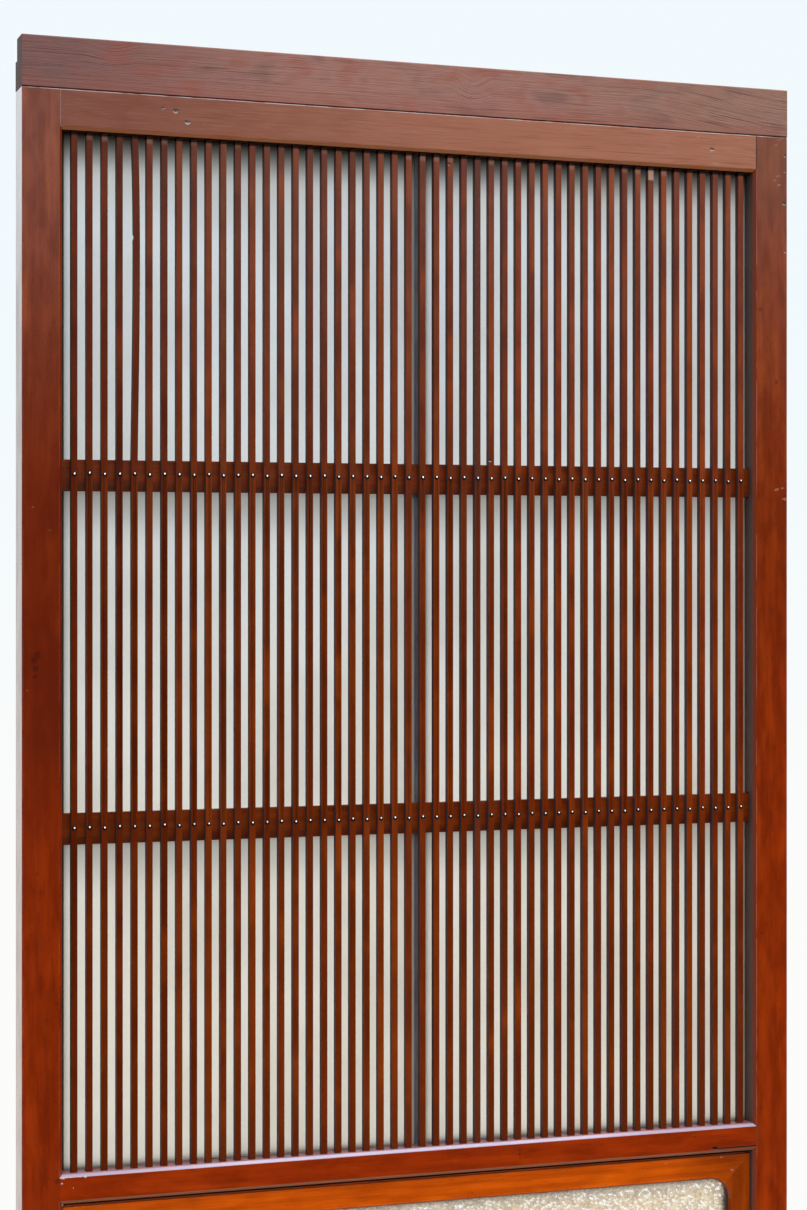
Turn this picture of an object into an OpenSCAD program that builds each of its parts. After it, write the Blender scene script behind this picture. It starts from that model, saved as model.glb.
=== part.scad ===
// Sliding lattice door leaf. A mortised frame holds a fine lattice of upright slats over two
// frosted panes, and below the sill a lift-out sash with figured glass. A weathered head
// extension lengthens the old leaf, and two grooved rollers are let into the bottom rail.
// The front faces -Y, X runs across the leaf, and the wheels stand on Z = 0.

/* [Leaf] */
// Width of the leaf across both stiles
leaf_w = 880; // [760:1:1000]
// Height of the old leaf, from its underside to the joint below the head extension
leaf_h = 1755; // [1650:1:1900]
// Thickness of the leaf
leaf_t = 36; // [34:0.5:42]
// Width of each stile, with its chamfer
stile_w = 42.5; // [40:0.5:60]
// Chamfer along the front edges that face the openings
edge_chamfer = 3.4; // [2:0.1:5]
// Small chamfer that breaks the other long edges
arris = 1; // [0.4:0.1:2]

/* [Rails] */
// Height of the top rail
top_rail_h = 42; // [36:0.5:60]
// Height of the sill rail between the lattice and the sash
sill_h = 31; // [28:0.5:50]
// Height of the bottom rail
bottom_rail_h = 100; // [80:1:140]
// Length of the rail tenons in the stiles
tenon_l = 28; // [16:1:32]
// Thickness of the rail tenons
tenon_t = 12; // [8:0.5:13]
// Depth from the front face to the tenons
tenon_recess = 9; // [6:0.5:10]
// Shoulder above and below each tenon
tenon_shoulder = 6; // [4:0.5:9]

/* [Head extension] */
// Height of the piece that lengthens the leaf
head_h = 54; // [45:1:90]
// Height of the tongue that runs in the head groove
tongue_h = 23; // [12:0.5:24]
// Thickness of the tongue, which is rebated from the back
tongue_t = 28; // [18:0.5:32]
// Width of the stub tenon at the top of each stile
stub_w = 20; // [12:0.5:26]
// Height of the stub tenon at the top of each stile
stub_h = 18; // [10:0.5:20]

/* [Lattice] */
// Height of the opening that the lattice fills
lattice_h = 1082; // [950:1:1150]
// Distance from one slat to the next
slat_pitch = 16; // [14:0.1:20]
// Width of a slat, seen from the front
slat_w = 6.5; // [5:0.1:9]
// Depth of a slat from front to back
slat_t = 8; // [6:0.1:9]
// Depth from the front face to the slats
slat_recess = 6.2; // [4:0.1:8]
// Length of each slat end that sits in its mortise
slat_seat = 5; // [3:0.5:7]
// Height of the battens that cross behind the slats
batten_h = 32.8; // [24:0.2:44]
// Thickness of the battens
batten_t = 7; // [6:0.1:8]
// Length of each batten end that sits in a stile
batten_seat = 8; // [5:0.5:14]
// Distance that the lower batten sits above its even place
lower_batten_rise = 2; // [0:0.1:5]
// Diameter of the domed nail heads
nail_head_d = 4.8; // [3:0.1:5]
// Height of the domed nail heads
nail_head_h = 1.3; // [0.8:0.1:1.9]
// Diameter of the nail shanks
nail_shank_d = 1.6; // [1.2:0.1:2]

/* [Glazing] */
// Thickness of the frosted panes
pane_t = 3; // [2:0.5:4]
// Width of the rebate that the panes lie in
pane_lap = 8; // [5:0.5:9]
// Width of the centre glazing bar in front of the panes
bar_w = 8; // [7:0.5:12]
// Thickness of the glazing bar in front of the panes
bar_lip_t = 2; // [1.5:0.1:3]
// Width of the glazing bar between the panes
bar_web_w = 3; // [2:0.2:5]
// Width of the beads along the frame
bead_w = 10; // [8:0.5:14]
// Width of the beads along the glazing bar
bar_bead_w = 6; // [4:0.5:10]

/* [Sash] */
// Depth from the front face of the leaf to the sash
sash_recess = 8; // [5:0.5:10]
// Thickness of the sash
sash_t = 20; // [18:0.5:22]
// Width of the sash members
sash_member_w = 26; // [22:0.5:40]
// Radius of the rounded inner corners of the sash
sash_corner_r = 24; // [10:0.5:40]
// Chamfer round the front of the sash window
window_chamfer = 2; // [0.5:0.1:3.5]
// Gap between the sash and each stile
sash_side_gap = 1.2; // [0.5:0.1:3]
// Gap between the sash and the sill, which lets it lift out
sash_top_gap = 5; // [4.5:0.1:8]
// Thickness of the sash in front of its glass
sash_lip_t = 5.5; // [4:0.5:8]
// Thickness of the figured pane
figured_t = 4; // [3:0.5:5]
// Width of the rebate that the figured pane lies in
figured_lap = 7; // [4:0.5:10]
// Width of the beads behind the figured pane
sash_bead_w = 9; // [6:0.5:12]

/* [Rollers] */
// Diameter of the wheels
wheel_d = 34; // [28:1:40]
// Width of the wheels
wheel_w = 9; // [8:0.5:11]
// Height of the gap below the leaf that the wheels leave
wheel_drop = 5; // [3:0.5:8]
// Radius of the groove round each wheel
groove_r = 2.8; // [2:0.1:3.5]
// Diameter of the axles
axle_d = 5; // [4:0.5:7]
// Distance from the edge of the leaf to each wheel's axle
roller_inset = 130; // [100:1:200]
// Thickness of the sheet that the roller cases are made of
case_wall = 1.6; // [1.2:0.1:2]
// Length of each screwed flange of a roller case
flange_l = 14; // [10:0.5:20]
// Diameter of the screw shanks
screw_d = 3.5; // [2.5:0.1:4]
// Diameter of the countersunk screw heads
screw_head_d = 7; // [5.5:0.1:8]
// Length of the screws
screw_l = 22; // [14:1:30]

/* [Wear] */
// Rise of the upper batten from its left end to its right end
upper_batten_tilt = 4.4; // [0:0.1:6]
// Rise of the lower batten from its left end to its right end
lower_batten_tilt = 2.2; // [0:0.1:6]
// Distance that one slat of the top bay bows to the side
slat_bow = 2.4; // [0.5:0.1:3]
// Depth of the nick in the edge of the bowed slat
nick_depth = 1; // [0.3:0.1:1.6]
// Radius of the nick
nick_r = 5; // [3:0.5:8]
// Length of the split along the lower edge of the sill
split_l = 55; // [20:1:120]
// Width of the split
split_w = 1.1; // [0.5:0.1:2]
// Depth of the split
split_depth = 2; // [0.5:0.1:4]
// Length of the broken notch where the split ends
split_notch_l = 5.5; // [2:0.5:10]
// Height of the broken notch
split_notch_h = 3; // [2:0.1:5]
// Distance from the sill's lower chamfer up to the split
split_rise = 1.5; // [0:0.1:4]

/* [Hidden] */
$fn = 48;

// Extra length of a cut past the face that it opens
overrun = 1;
// Gap round each tenon, slat end and batten end in its mortise
joint_gap = 0.15;
// Gap round each pane in its rebate
pane_gap = 0.4;
// Gap round each nail and screw in its hole
shank_gap = 0.05;
// Radial gap between a wheel and its axle
running_gap = 0.05;
// Gap on each side of a wheel in its case
wheel_side_gap = 0.5;
// Gap round the rim of a wheel in its case
wheel_rim_gap = 2;
// Gap round each roller case in the bottom rail
case_gap = 0.2;
// Smallest gap between the last slat and a stile
least_end_gap = 5;
// Length of a nail in its batten
nail_grip = 4.5;
// Distance of the nails above the middle of a batten
nail_rise = 1.2;
// Distance that the nails stray from their row
nail_wander = 0.6;
// Turn between the strays of neighbouring nails, so that they look hand-driven
nail_scatter_deg = 137.5;
// Depth of the glazing beads below the back face
bead_set = 0.5;
// Chamfer along the free back edge of the glazing beads
bead_chamfer = 2.5;
// Thickness of the tongues at the top and the foot of the sash
sash_tongue_t = 8;
// Depth from the front of the sash to its tongues
sash_tongue_recess = 6;
// Length of the top tongue in the sill groove
sash_tongue_grip = 6;
// Length of the foot tongue in the bottom rail
sash_foot_h = 4;
// Length of each tongue or stub that runs on into its own member
tongue_root = 3;
// Gap round the sash tongues in their grooves
groove_gap = 0.3;
// Place of the bowed slat between the centre and the left stile
bowed_place_share = 0.83;
// Place of the widest bow down the top bay
bow_peak_share = 0.37;
// Place of the nick down the top bay
nick_share = 0.315;
// Number of straight steps along the bow
bow_steps = 16;

front_y = -leaf_t / 2;
back_y = leaf_t / 2;
outer_x = leaf_w / 2;
inner_x = outer_x - stile_w;
flat_x = inner_x + edge_chamfer;

leaf_bottom = wheel_drop;
leaf_top = leaf_bottom + leaf_h;
bottom_rail_top = leaf_bottom + bottom_rail_h;
top_rail_bottom = leaf_top - top_rail_h;
sill_top = top_rail_bottom - lattice_h;
sill_bottom = sill_top - sill_h;

batten_d = slat_recess + slat_t;
bar_d = batten_d + batten_t;
pane_d = bar_d + bar_lip_t;
bead_d = pane_d + pane_t;
bead_back_d = leaf_t - bead_set;
bay_h = (lattice_h - 2 * batten_h) / 3;

slat_reach = floor((inner_x - slat_w / 2 - least_end_gap) / slat_pitch);
bowed_k = -round(slat_reach * bowed_place_share);
slat_low = sill_top - slat_seat;
slat_high = top_rail_bottom + slat_seat;
nail_dome_r = (pow(nail_head_d / 2, 2) + pow(nail_head_h, 2)) / (2 * nail_head_h);

pane_low = sill_top - pane_lap;
pane_high = top_rail_bottom + pane_lap;
pane_wall_x = inner_x + pane_lap;

sash_x = inner_x - sash_side_gap;
sash_low = bottom_rail_top;
sash_high = sill_bottom - sash_top_gap;
sash_back_d = sash_recess + sash_t;
sash_tongue_d = sash_recess + sash_tongue_recess;
window_x = sash_x - sash_member_w;
window_low = sash_low + sash_member_w;
window_high = sash_high - sash_member_w;
figured_d = sash_recess + sash_lip_t;
figured_x = window_x + figured_lap;
figured_low = window_low - figured_lap;
figured_high = window_high + figured_lap;
mitre_reach = sash_member_w + sash_corner_r;

axle_z = wheel_d / 2;
roller_x = outer_x - roller_inset;
case_inner_w = wheel_w + 2 * wheel_side_gap;
case_w = case_inner_w + 2 * case_wall;
case_inner_l = wheel_d + 2 * wheel_rim_gap;
case_l = case_inner_l + 2 * case_wall;
case_inner_top = wheel_d + wheel_rim_gap;
case_top = case_inner_top + case_wall;
flange_reach = case_l / 2 + flange_l;
screw_x = case_l / 2 + flange_l / 2;

old_lacquer = [0.50, 0.21, 0.08];
weathered_lacquer = [0.52, 0.38, 0.36];
lattice_lacquer = [0.42, 0.18, 0.09];
sash_lacquer = [0.62, 0.25, 0.04];
back_wood = [0.45, 0.24, 0.12];
frosted_white = [0.84, 0.86, 0.86];
figured_white = [0.80, 0.78, 0.70];
nickel = [0.78, 0.76, 0.72];
zinc = [0.62, 0.62, 0.60];
wheel_brass = [0.72, 0.56, 0.26];

function slat_x(k) = k * slat_pitch;
function batten_low(row) = top_rail_bottom - (row + 1) * (bay_h + batten_h) + row * lower_batten_rise;
function batten_middle(row) = batten_low(row) + batten_h / 2;
function batten_slope(row) = (row == 0 ? upper_batten_tilt : lower_batten_tilt) / (2 * inner_x);
function nail_z(k, row) = batten_middle(row) + nail_rise + batten_slope(row) * slat_x(k)
  + nail_wander * sin(nail_scatter_deg * (k + row * slat_reach));
function bow_at(t) = slat_bow * sin(180 * pow(t, ln(0.5) / ln(bow_peak_share)));

// A box between two places across, two depths behind the front face and two heights
module block(x0, x1, d0, d1, z0, z1) {
  translate([x0, front_y + d0, z0]) cube([x1 - x0, d1 - d0, z1 - z0]);
}

// An outline seen from the front, thickened between two depths
module front_slab(d0, d1) {
  translate([0, front_y + d1, 0]) rotate([90, 0, 0]) linear_extrude(d1 - d0) children();
}

// A section seen from the side, drawn out along the leaf's width
module cross_bar(x0, x1) {
  translate([x0, 0, 0]) rotate([90, 0, 90]) linear_extrude(x1 - x0) children();
}

// Both mirror images of a thing made for the right-hand side
module both_sides() {
  children();
  mirror([1, 0, 0]) children();
}

// Front outline of a rail. Its ends reach the flat of the stiles, and where a chamfered
// edge meets the stile's chamfer the two are cut to a mitre.
module rail_outline(z0, z1, mitre_low, mitre_high) {
  polygon(concat(
    mitre_low > 0
      ? [[-flat_x, z0 + mitre_low], [-flat_x + mitre_low, z0],
         [flat_x - mitre_low, z0], [flat_x, z0 + mitre_low]]
      : [[-flat_x, z0], [flat_x, z0]],
    mitre_high > 0
      ? [[flat_x, z1 - mitre_high], [flat_x - mitre_high, z1],
         [-flat_x + mitre_high, z1], [-flat_x, z1 - mitre_high]]
      : [[flat_x, z1], [-flat_x, z1]]));
}

// Side section of a rail, with a chamfer on its two front edges
module rail_section(z0, z1, chamfer_low, chamfer_high) {
  polygon([[front_y, z0 + chamfer_low], [front_y + chamfer_low, z0], [back_y, z0],
    [back_y, z1], [front_y + chamfer_high, z1], [front_y, z1 - chamfer_high]]);
}

// A rail with its mitred shoulders, and a tenon at each end
module rail(z0, z1, mitre_low, mitre_high) {
  intersection() {
    front_slab(0, leaf_t) rail_outline(z0, z1, mitre_low, mitre_high);
    cross_bar(-flat_x, flat_x) rail_section(z0, z1, max(mitre_low, arris), max(mitre_high, arris));
  }
  block(-flat_x - tenon_l, flat_x + tenon_l, tenon_recess, tenon_recess + tenon_t,
    z0 + tenon_shoulder, z1 - tenon_shoulder);
}

// Room for one rail in a stile: its mitred shoulder and the mortise for its tenon
module rail_housing(z0, z1, mitre_low, mitre_high) {
  front_slab(-overrun, leaf_t + overrun) rail_outline(z0, z1, mitre_low, mitre_high);
  block(inner_x, flat_x + tenon_l + joint_gap, tenon_recess - joint_gap,
    tenon_recess + tenon_t + joint_gap, z0 + tenon_shoulder - joint_gap,
    z1 - tenon_shoulder + joint_gap);
}

// Rebate round the lattice opening that takes the frosted panes from the back
module pane_rebate() {
  block(-pane_wall_x, pane_wall_x, pane_d, leaf_t + overrun, pane_low, pane_high);
}

// A thing turned with the tilt of one batten. Side is -1 for a thing that is mirrored afterwards.
module tilted(row, side) {
  translate([0, 0, batten_middle(row)]) rotate([0, -side * atan(batten_slope(row)), 0])
    translate([0, 0, -batten_middle(row)]) children();
}

// Right-hand stile, with its rail housings, batten mortises and stub tenon
module stile(side) {
  difference() {
    translate([0, 0, leaf_bottom]) linear_extrude(leaf_h)
      polygon([[inner_x, front_y + edge_chamfer], [flat_x, front_y], [outer_x - arris, front_y],
        [outer_x, front_y + arris], [outer_x, back_y - arris], [outer_x - arris, back_y],
        [inner_x, back_y]]);
    rail_housing(top_rail_bottom, leaf_top, edge_chamfer, 0);
    rail_housing(sill_bottom, sill_top, edge_chamfer, edge_chamfer);
    rail_housing(leaf_bottom, bottom_rail_top, 0, edge_chamfer);
    for (row = [0, 1]) tilted(row, side)
      block(inner_x - overrun, inner_x + batten_seat + joint_gap, batten_d - joint_gap,
        bar_d + joint_gap, batten_low(row) - joint_gap, batten_low(row) + batten_h + joint_gap);
    pane_rebate();
    cross_bar(inner_x - overrun, outer_x + overrun)
      polygon([[front_y - overrun, leaf_top - arris - overrun], [front_y + arris + overrun,
        leaf_top + overrun], [front_y - overrun, leaf_top + overrun]]);
  }
  stub_tenon(0);
}

// Stub tenon on top of the right-hand stile, or the mortise for it with a gap all round
module stub_tenon(gap) {
  stub_x = (flat_x + outer_x) / 2;
  block(stub_x - stub_w / 2 - gap, stub_x + stub_w / 2 + gap, tenon_recess - gap,
    tenon_recess + tenon_t + gap, leaf_top - tongue_root, leaf_top + stub_h + gap);
}

module left_stile() {
  color(old_lacquer) mirror([1, 0, 0]) stile(-1);
}

module right_stile() {
  color(old_lacquer) stile(1);
}

// Weathered piece across the top of both stiles, rebated at the back to leave a tongue
module head_extension() {
  head_top = leaf_top + head_h;
  tongue_low = head_top - tongue_h;
  tongue_back = front_y + tongue_t;
  color(weathered_lacquer) difference() {
    cross_bar(-outer_x, outer_x)
      polygon([[front_y, leaf_top + arris], [front_y + arris, leaf_top], [back_y, leaf_top],
        [back_y, tongue_low], [tongue_back, tongue_low], [tongue_back, head_top - arris],
        [tongue_back - arris, head_top], [front_y + arris, head_top], [front_y, head_top - arris]]);
    both_sides() stub_tenon(joint_gap);
  }
}

// Mortises for all slat ends between two heights
module slat_mortises(z0, z1) {
  for (k = [-slat_reach : slat_reach])
    block(slat_x(k) - slat_w / 2 - joint_gap, slat_x(k) + slat_w / 2 + joint_gap,
      slat_recess - joint_gap, batten_d + joint_gap, z0, z1);
}

module top_rail() {
  color(old_lacquer) difference() {
    rail(top_rail_bottom, leaf_top, edge_chamfer, 0);
    slat_mortises(top_rail_bottom - overrun, slat_high + joint_gap);
    pane_rebate();
  }
}

// Sill between lattice and sash, with the groove that the sash lifts into
module sill_rail() {
  split_low = sill_bottom + edge_chamfer + split_rise;
  color(old_lacquer) difference() {
    rail(sill_bottom, sill_top, edge_chamfer, edge_chamfer);
    slat_mortises(slat_low, sill_top + overrun);
    pane_rebate();
    block(-inner_x, inner_x, sash_tongue_d - groove_gap, sash_tongue_d + sash_tongue_t + groove_gap,
      sill_bottom - overrun, sill_bottom + sash_tongue_grip + sash_top_gap + groove_gap);
    block(flat_x - split_l, flat_x + overrun, -overrun, split_depth, split_low, split_low + split_w);
    block(flat_x - split_l, flat_x - split_l + split_notch_l, -overrun, split_depth,
      split_low, split_low + split_notch_h);
  }
}

module bottom_rail() {
  color(old_lacquer) difference() {
    rail(leaf_bottom, bottom_rail_top, 0, edge_chamfer);
    block(-inner_x, inner_x, sash_tongue_d - groove_gap, sash_tongue_d + sash_tongue_t + groove_gap,
      bottom_rail_top - sash_foot_h - groove_gap, bottom_rail_top + overrun);
    both_sides() translate([roller_x, 0, 0]) {
      case_mortise();
      for (side = [-1, 1])
        translate([side * screw_x, 0, leaf_bottom - overrun])
          cylinder(d = screw_d + 2 * shank_gap, h = screw_l + shank_gap + overrun);
    }
  }
}

// Holes for the two nails of one slat, through the slat and into the battens
module nail_holes(k) {
  for (row = [0, 1])
    translate([slat_x(k), front_y + slat_recess - overrun, nail_z(k, row)]) rotate([-90, 0, 0])
      cylinder(d = nail_shank_d + 2 * shank_gap, h = overrun + slat_t + nail_grip + shank_gap);
}

module slat(k) {
  difference() {
    block(slat_x(k) - slat_w / 2, slat_x(k) + slat_w / 2, slat_recess, batten_d, slat_low, slat_high);
    nail_holes(k);
  }
}

module left_slats() {
  color(lattice_lacquer) for (k = [-slat_reach : -1]) if (k != bowed_k) slat(k);
}

module centre_slat() {
  color(lattice_lacquer) slat(0);
}

module right_slats() {
  color(lattice_lacquer) for (k = [1 : slat_reach]) slat(k);
}

// The slat that has sprung to the right in the top bay, with a nick in its left edge
module bowed_slat() {
  left_x = slat_x(bowed_k) - slat_w / 2;
  right_x = left_x + slat_w;
  steps = [for (i = [0 : bow_steps]) i / bow_steps];
  down_right = [for (t = steps) [right_x + bow_at(t), top_rail_bottom - t * bay_h]];
  up_left = [for (t = steps) [left_x + bow_at(1 - t), top_rail_bottom - (1 - t) * bay_h]];
  color(lattice_lacquer) difference() {
    front_slab(slat_recess, batten_d)
      polygon(concat([[left_x, slat_high], [right_x, slat_high]], down_right,
        [[right_x, slat_low], [left_x, slat_low]], up_left));
    nail_holes(bowed_k);
    translate([left_x + bow_at(nick_share) + nick_depth - nick_r, front_y + slat_recess - overrun,
      top_rail_bottom - nick_share * bay_h]) rotate([-90, 0, 0])
      cylinder(r = nick_r, h = slat_t + 2 * overrun);
  }
}

// Batten across the back of the slats, in mortises in both stiles
module batten(row) {
  color(lattice_lacquer) difference() {
    tilted(row, 1) block(-inner_x - batten_seat, inner_x + batten_seat, batten_d, bar_d,
      batten_low(row), batten_low(row) + batten_h);
    for (k = [-slat_reach : slat_reach]) nail_holes(k);
  }
}

module upper_batten() {
  batten(0);
}

module lower_batten() {
  batten(1);
}

// Domed nail, its head on the front of the slat
module nail() {
  intersection() {
    translate([0, 0, nail_head_h - nail_dome_r]) sphere(nail_dome_r);
    cylinder(d = nail_head_d + overrun, h = nail_head_h + overrun);
  }
  translate([0, 0, -slat_t - nail_grip])
    cylinder(d = nail_shank_d, h = slat_t + nail_grip + nail_head_h / 2);
}

module nail_row(row) {
  color(nickel) for (k = [-slat_reach : slat_reach])
    translate([slat_x(k), front_y + slat_recess, nail_z(k, row)]) rotate([90, 0, 0]) nail();
}

module upper_nails() {
  nail_row(0);
}

module lower_nails() {
  nail_row(1);
}

// Centre bar behind the middle slat: a lip in front of the panes and a web between them
module glazing_bar() {
  color(back_wood) {
    block(-bar_w / 2, bar_w / 2, bar_d, pane_d, sill_top, top_rail_bottom);
    block(-bar_web_w / 2, bar_web_w / 2, bar_d, bead_back_d, sill_top, top_rail_bottom);
    block(-bar_web_w / 2, bar_web_w / 2, pane_d, bead_back_d, pane_low, pane_high);
  }
}

// Right-hand frosted pane, from the glazing bar to the stile
module pane() {
  block(bar_web_w / 2 + pane_gap, pane_wall_x - pane_gap, pane_d, bead_d,
    pane_low + pane_gap, pane_high - pane_gap);
}

module left_pane() {
  color(frosted_white) mirror([1, 0, 0]) pane();
}

module right_pane() {
  color(frosted_white) pane();
}

// Section of a bead between a wall and a free edge, with the free back edge chamfered
function bead_points(wall, free, d0, d1) =
  let (inward = sign(wall - free) * bead_chamfer)
  [[wall, front_y + d0], [wall, front_y + d1], [free + inward, front_y + d1],
   [free, front_y + d1 - bead_chamfer], [free, front_y + d0]];

// Upright bead, its section seen from above
module upright_bead(wall, free, d0, d1, z0, z1) {
  color(back_wood) translate([0, 0, z0]) linear_extrude(z1 - z0) polygon(bead_points(wall, free, d0, d1));
}

// Level bead, its section seen from the side
module level_bead(wall, free, d0, d1, x0, x1) {
  color(back_wood) cross_bar(x0, x1)
    polygon([for (p = bead_points(wall, free, d0, d1)) [p[1], p[0]]]);
}

module pane_outer_bead() {
  upright_bead(pane_wall_x, pane_wall_x - bead_w, bead_d, bead_back_d, pane_low, pane_high);
}

module pane_inner_bead() {
  upright_bead(bar_web_w / 2, bar_web_w / 2 + bar_bead_w, bead_d, bead_back_d, pane_low, pane_high);
}

module pane_level_bead(wall, free) {
  level_bead(wall, free, bead_d, bead_back_d, bar_web_w / 2 + bar_bead_w, pane_wall_x - bead_w);
}

module left_pane_outer_bead() {
  mirror([1, 0, 0]) pane_outer_bead();
}

module left_pane_inner_bead() {
  mirror([1, 0, 0]) pane_inner_bead();
}

module left_pane_top_bead() {
  mirror([1, 0, 0]) pane_level_bead(pane_high, pane_high - bead_w);
}

module left_pane_bottom_bead() {
  mirror([1, 0, 0]) pane_level_bead(pane_low, pane_low + bead_w);
}

module right_pane_outer_bead() {
  pane_outer_bead();
}

module right_pane_inner_bead() {
  pane_inner_bead();
}

module right_pane_top_bead() {
  pane_level_bead(pane_high, pane_high - bead_w);
}

module right_pane_bottom_bead() {
  pane_level_bead(pane_low, pane_low + bead_w);
}

// Opening of the sash, with rounded corners
module window_cut() {
  d0 = sash_recess - overrun;
  d1 = sash_back_d + overrun;
  block(-window_x + sash_corner_r, window_x - sash_corner_r, d0, d1, window_low, window_high);
  block(-window_x, window_x, d0, d1, window_low + sash_corner_r, window_high - sash_corner_r);
  for (x = [-window_x + sash_corner_r, window_x - sash_corner_r])
    for (z = [window_low + sash_corner_r, window_high - sash_corner_r])
      translate([x, front_y + d0, z]) rotate([-90, 0, 0]) cylinder(r = sash_corner_r, h = d1 - d0);
}

// Chamfer round the front of the window: a flared prism across, one up, and a cone at each corner
module window_chamfer_cut() {
  flare = window_chamfer + overrun;
  y0 = front_y + sash_recess - overrun;
  y1 = y0 + flare;
  straight_x = window_x - sash_corner_r;
  straight_low = window_low + sash_corner_r;
  straight_high = window_high - sash_corner_r;
  cross_bar(-straight_x, straight_x)
    polygon([[y0, window_low - flare], [y1, window_low], [y1, window_high], [y0, window_high + flare]]);
  translate([0, 0, straight_low]) linear_extrude(straight_high - straight_low)
    polygon([[-window_x - flare, y0], [window_x + flare, y0], [window_x, y1], [-window_x, y1]]);
  for (x = [-straight_x, straight_x])
    for (z = [straight_low, straight_high])
      translate([x, y0, z]) rotate([-90, 0, 0])
        cylinder(r1 = sash_corner_r + flare, r2 = sash_corner_r, h = flare);
}

// One mitred member of the sash, less the window and the rebate for its glass
module sash_member(points) {
  difference() {
    front_slab(sash_recess, sash_back_d) polygon(points);
    window_cut();
    window_chamfer_cut();
    block(-figured_x, figured_x, figured_d, sash_back_d + overrun, figured_low, figured_high);
  }
}

// Tongue along the top or the foot of the sash, which stops as short of the corners as its root
// is deep, so that the root stays clear of the mitres
module sash_tongue(z0, z1) {
  tongue_x = sash_x - tongue_root;
  block(-tongue_x, tongue_x, sash_tongue_d, sash_tongue_d + sash_tongue_t, z0, z1);
}

module sash_top() {
  color(sash_lacquer) {
    sash_member([[-sash_x, sash_high], [sash_x, sash_high],
      [sash_x - mitre_reach, sash_high - mitre_reach], [mitre_reach - sash_x, sash_high - mitre_reach]]);
    sash_tongue(sash_high - tongue_root, sill_bottom + sash_tongue_grip);
  }
}

module sash_bottom() {
  color(sash_lacquer) {
    sash_member([[-sash_x, sash_low], [sash_x, sash_low],
      [sash_x - mitre_reach, sash_low + mitre_reach], [mitre_reach - sash_x, sash_low + mitre_reach]]);
    sash_tongue(sash_low - sash_foot_h, sash_low + tongue_root);
  }
}

// Right-hand upright of the sash
module sash_upright() {
  sash_member([[sash_x, sash_low], [sash_x, sash_high],
    [sash_x - mitre_reach, sash_high - mitre_reach], [sash_x - mitre_reach, sash_low + mitre_reach]]);
}

module sash_left() {
  color(sash_lacquer) mirror([1, 0, 0]) sash_upright();
}

module sash_right() {
  color(sash_lacquer) sash_upright();
}

module figured_pane() {
  color(figured_white) block(-figured_x + pane_gap, figured_x - pane_gap, figured_d,
    figured_d + figured_t, figured_low + pane_gap, figured_high - pane_gap);
}

module sash_upright_bead() {
  upright_bead(figured_x, figured_x - sash_bead_w, figured_d + figured_t, sash_back_d - bead_set,
    figured_low, figured_high);
}

module sash_level_bead(wall, free) {
  level_bead(wall, free, figured_d + figured_t, sash_back_d - bead_set,
    -figured_x + sash_bead_w, figured_x - sash_bead_w);
}

module sash_top_bead() {
  sash_level_bead(figured_high, figured_high - sash_bead_w);
}

module sash_bottom_bead() {
  sash_level_bead(figured_low, figured_low + sash_bead_w);
}

module sash_left_bead() {
  mirror([1, 0, 0]) sash_upright_bead();
}

module sash_right_bead() {
  sash_upright_bead();
}

// Room for a roller case and its flanges in the underside of the bottom rail
module case_mortise() {
  block_l = case_l / 2 + case_gap;
  block_w = case_w / 2 + case_gap;
  translate([-block_l, -block_w, leaf_bottom - overrun])
    cube([2 * block_l, 2 * block_w, case_top + case_gap - leaf_bottom + overrun]);
  translate([-flange_reach - case_gap, -block_w, leaf_bottom - overrun])
    cube([2 * (flange_reach + case_gap), 2 * block_w, case_wall + overrun]);
}

// Sheet case round a wheel, open below, with a flange at each end
module roller_case() {
  difference() {
    union() {
      translate([-case_l / 2, -case_w / 2, leaf_bottom])
        cube([case_l, case_w, case_top - leaf_bottom]);
      translate([-flange_reach, -case_w / 2, leaf_bottom])
        cube([2 * flange_reach, case_w, case_wall]);
    }
    translate([-case_inner_l / 2, -case_inner_w / 2, leaf_bottom - overrun])
      cube([case_inner_l, case_inner_w, case_inner_top - leaf_bottom + overrun]);
    translate([0, case_w / 2 + overrun, axle_z]) rotate([90, 0, 0])
      cylinder(d = axle_d + 2 * shank_gap, h = case_w + 2 * overrun);
    for (side = [-1, 1])
      translate([side * screw_x, 0, leaf_bottom])
        cylinder(d1 = screw_head_d + 2 * shank_gap, d2 = screw_d + 2 * shank_gap, h = case_wall);
  }
}

module left_roller_case() {
  color(zinc) translate([-roller_x, 0, 0]) roller_case();
}

module right_roller_case() {
  color(zinc) translate([roller_x, 0, 0]) roller_case();
}

module axle() {
  translate([0, case_w / 2, axle_z]) rotate([90, 0, 0]) cylinder(d = axle_d, h = case_w);
}

module left_axle() {
  color(zinc) translate([-roller_x, 0, 0]) axle();
}

module right_axle() {
  color(zinc) translate([roller_x, 0, 0]) axle();
}

// Grooved wheel that runs on a rail
module wheel() {
  translate([0, 0, axle_z]) rotate([90, 0, 0]) difference() {
    cylinder(d = wheel_d, h = wheel_w, center = true);
    cylinder(d = axle_d + 2 * running_gap, h = wheel_w + 2 * overrun, center = true);
    rotate_extrude() translate([wheel_d / 2, 0]) circle(groove_r);
  }
}

module left_wheel() {
  color(wheel_brass) translate([-roller_x, 0, 0]) wheel();
}

module right_wheel() {
  color(wheel_brass) translate([roller_x, 0, 0]) wheel();
}

// Countersunk screw, its head flush with the flange
module screw() {
  cylinder(d1 = screw_head_d, d2 = screw_d, h = case_wall);
  cylinder(d = screw_d, h = screw_l);
}

module roller_screws() {
  color(zinc) for (x = [-roller_x, roller_x]) for (side = [-1, 1])
    translate([x + side * screw_x, 0, leaf_bottom]) screw();
}

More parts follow.
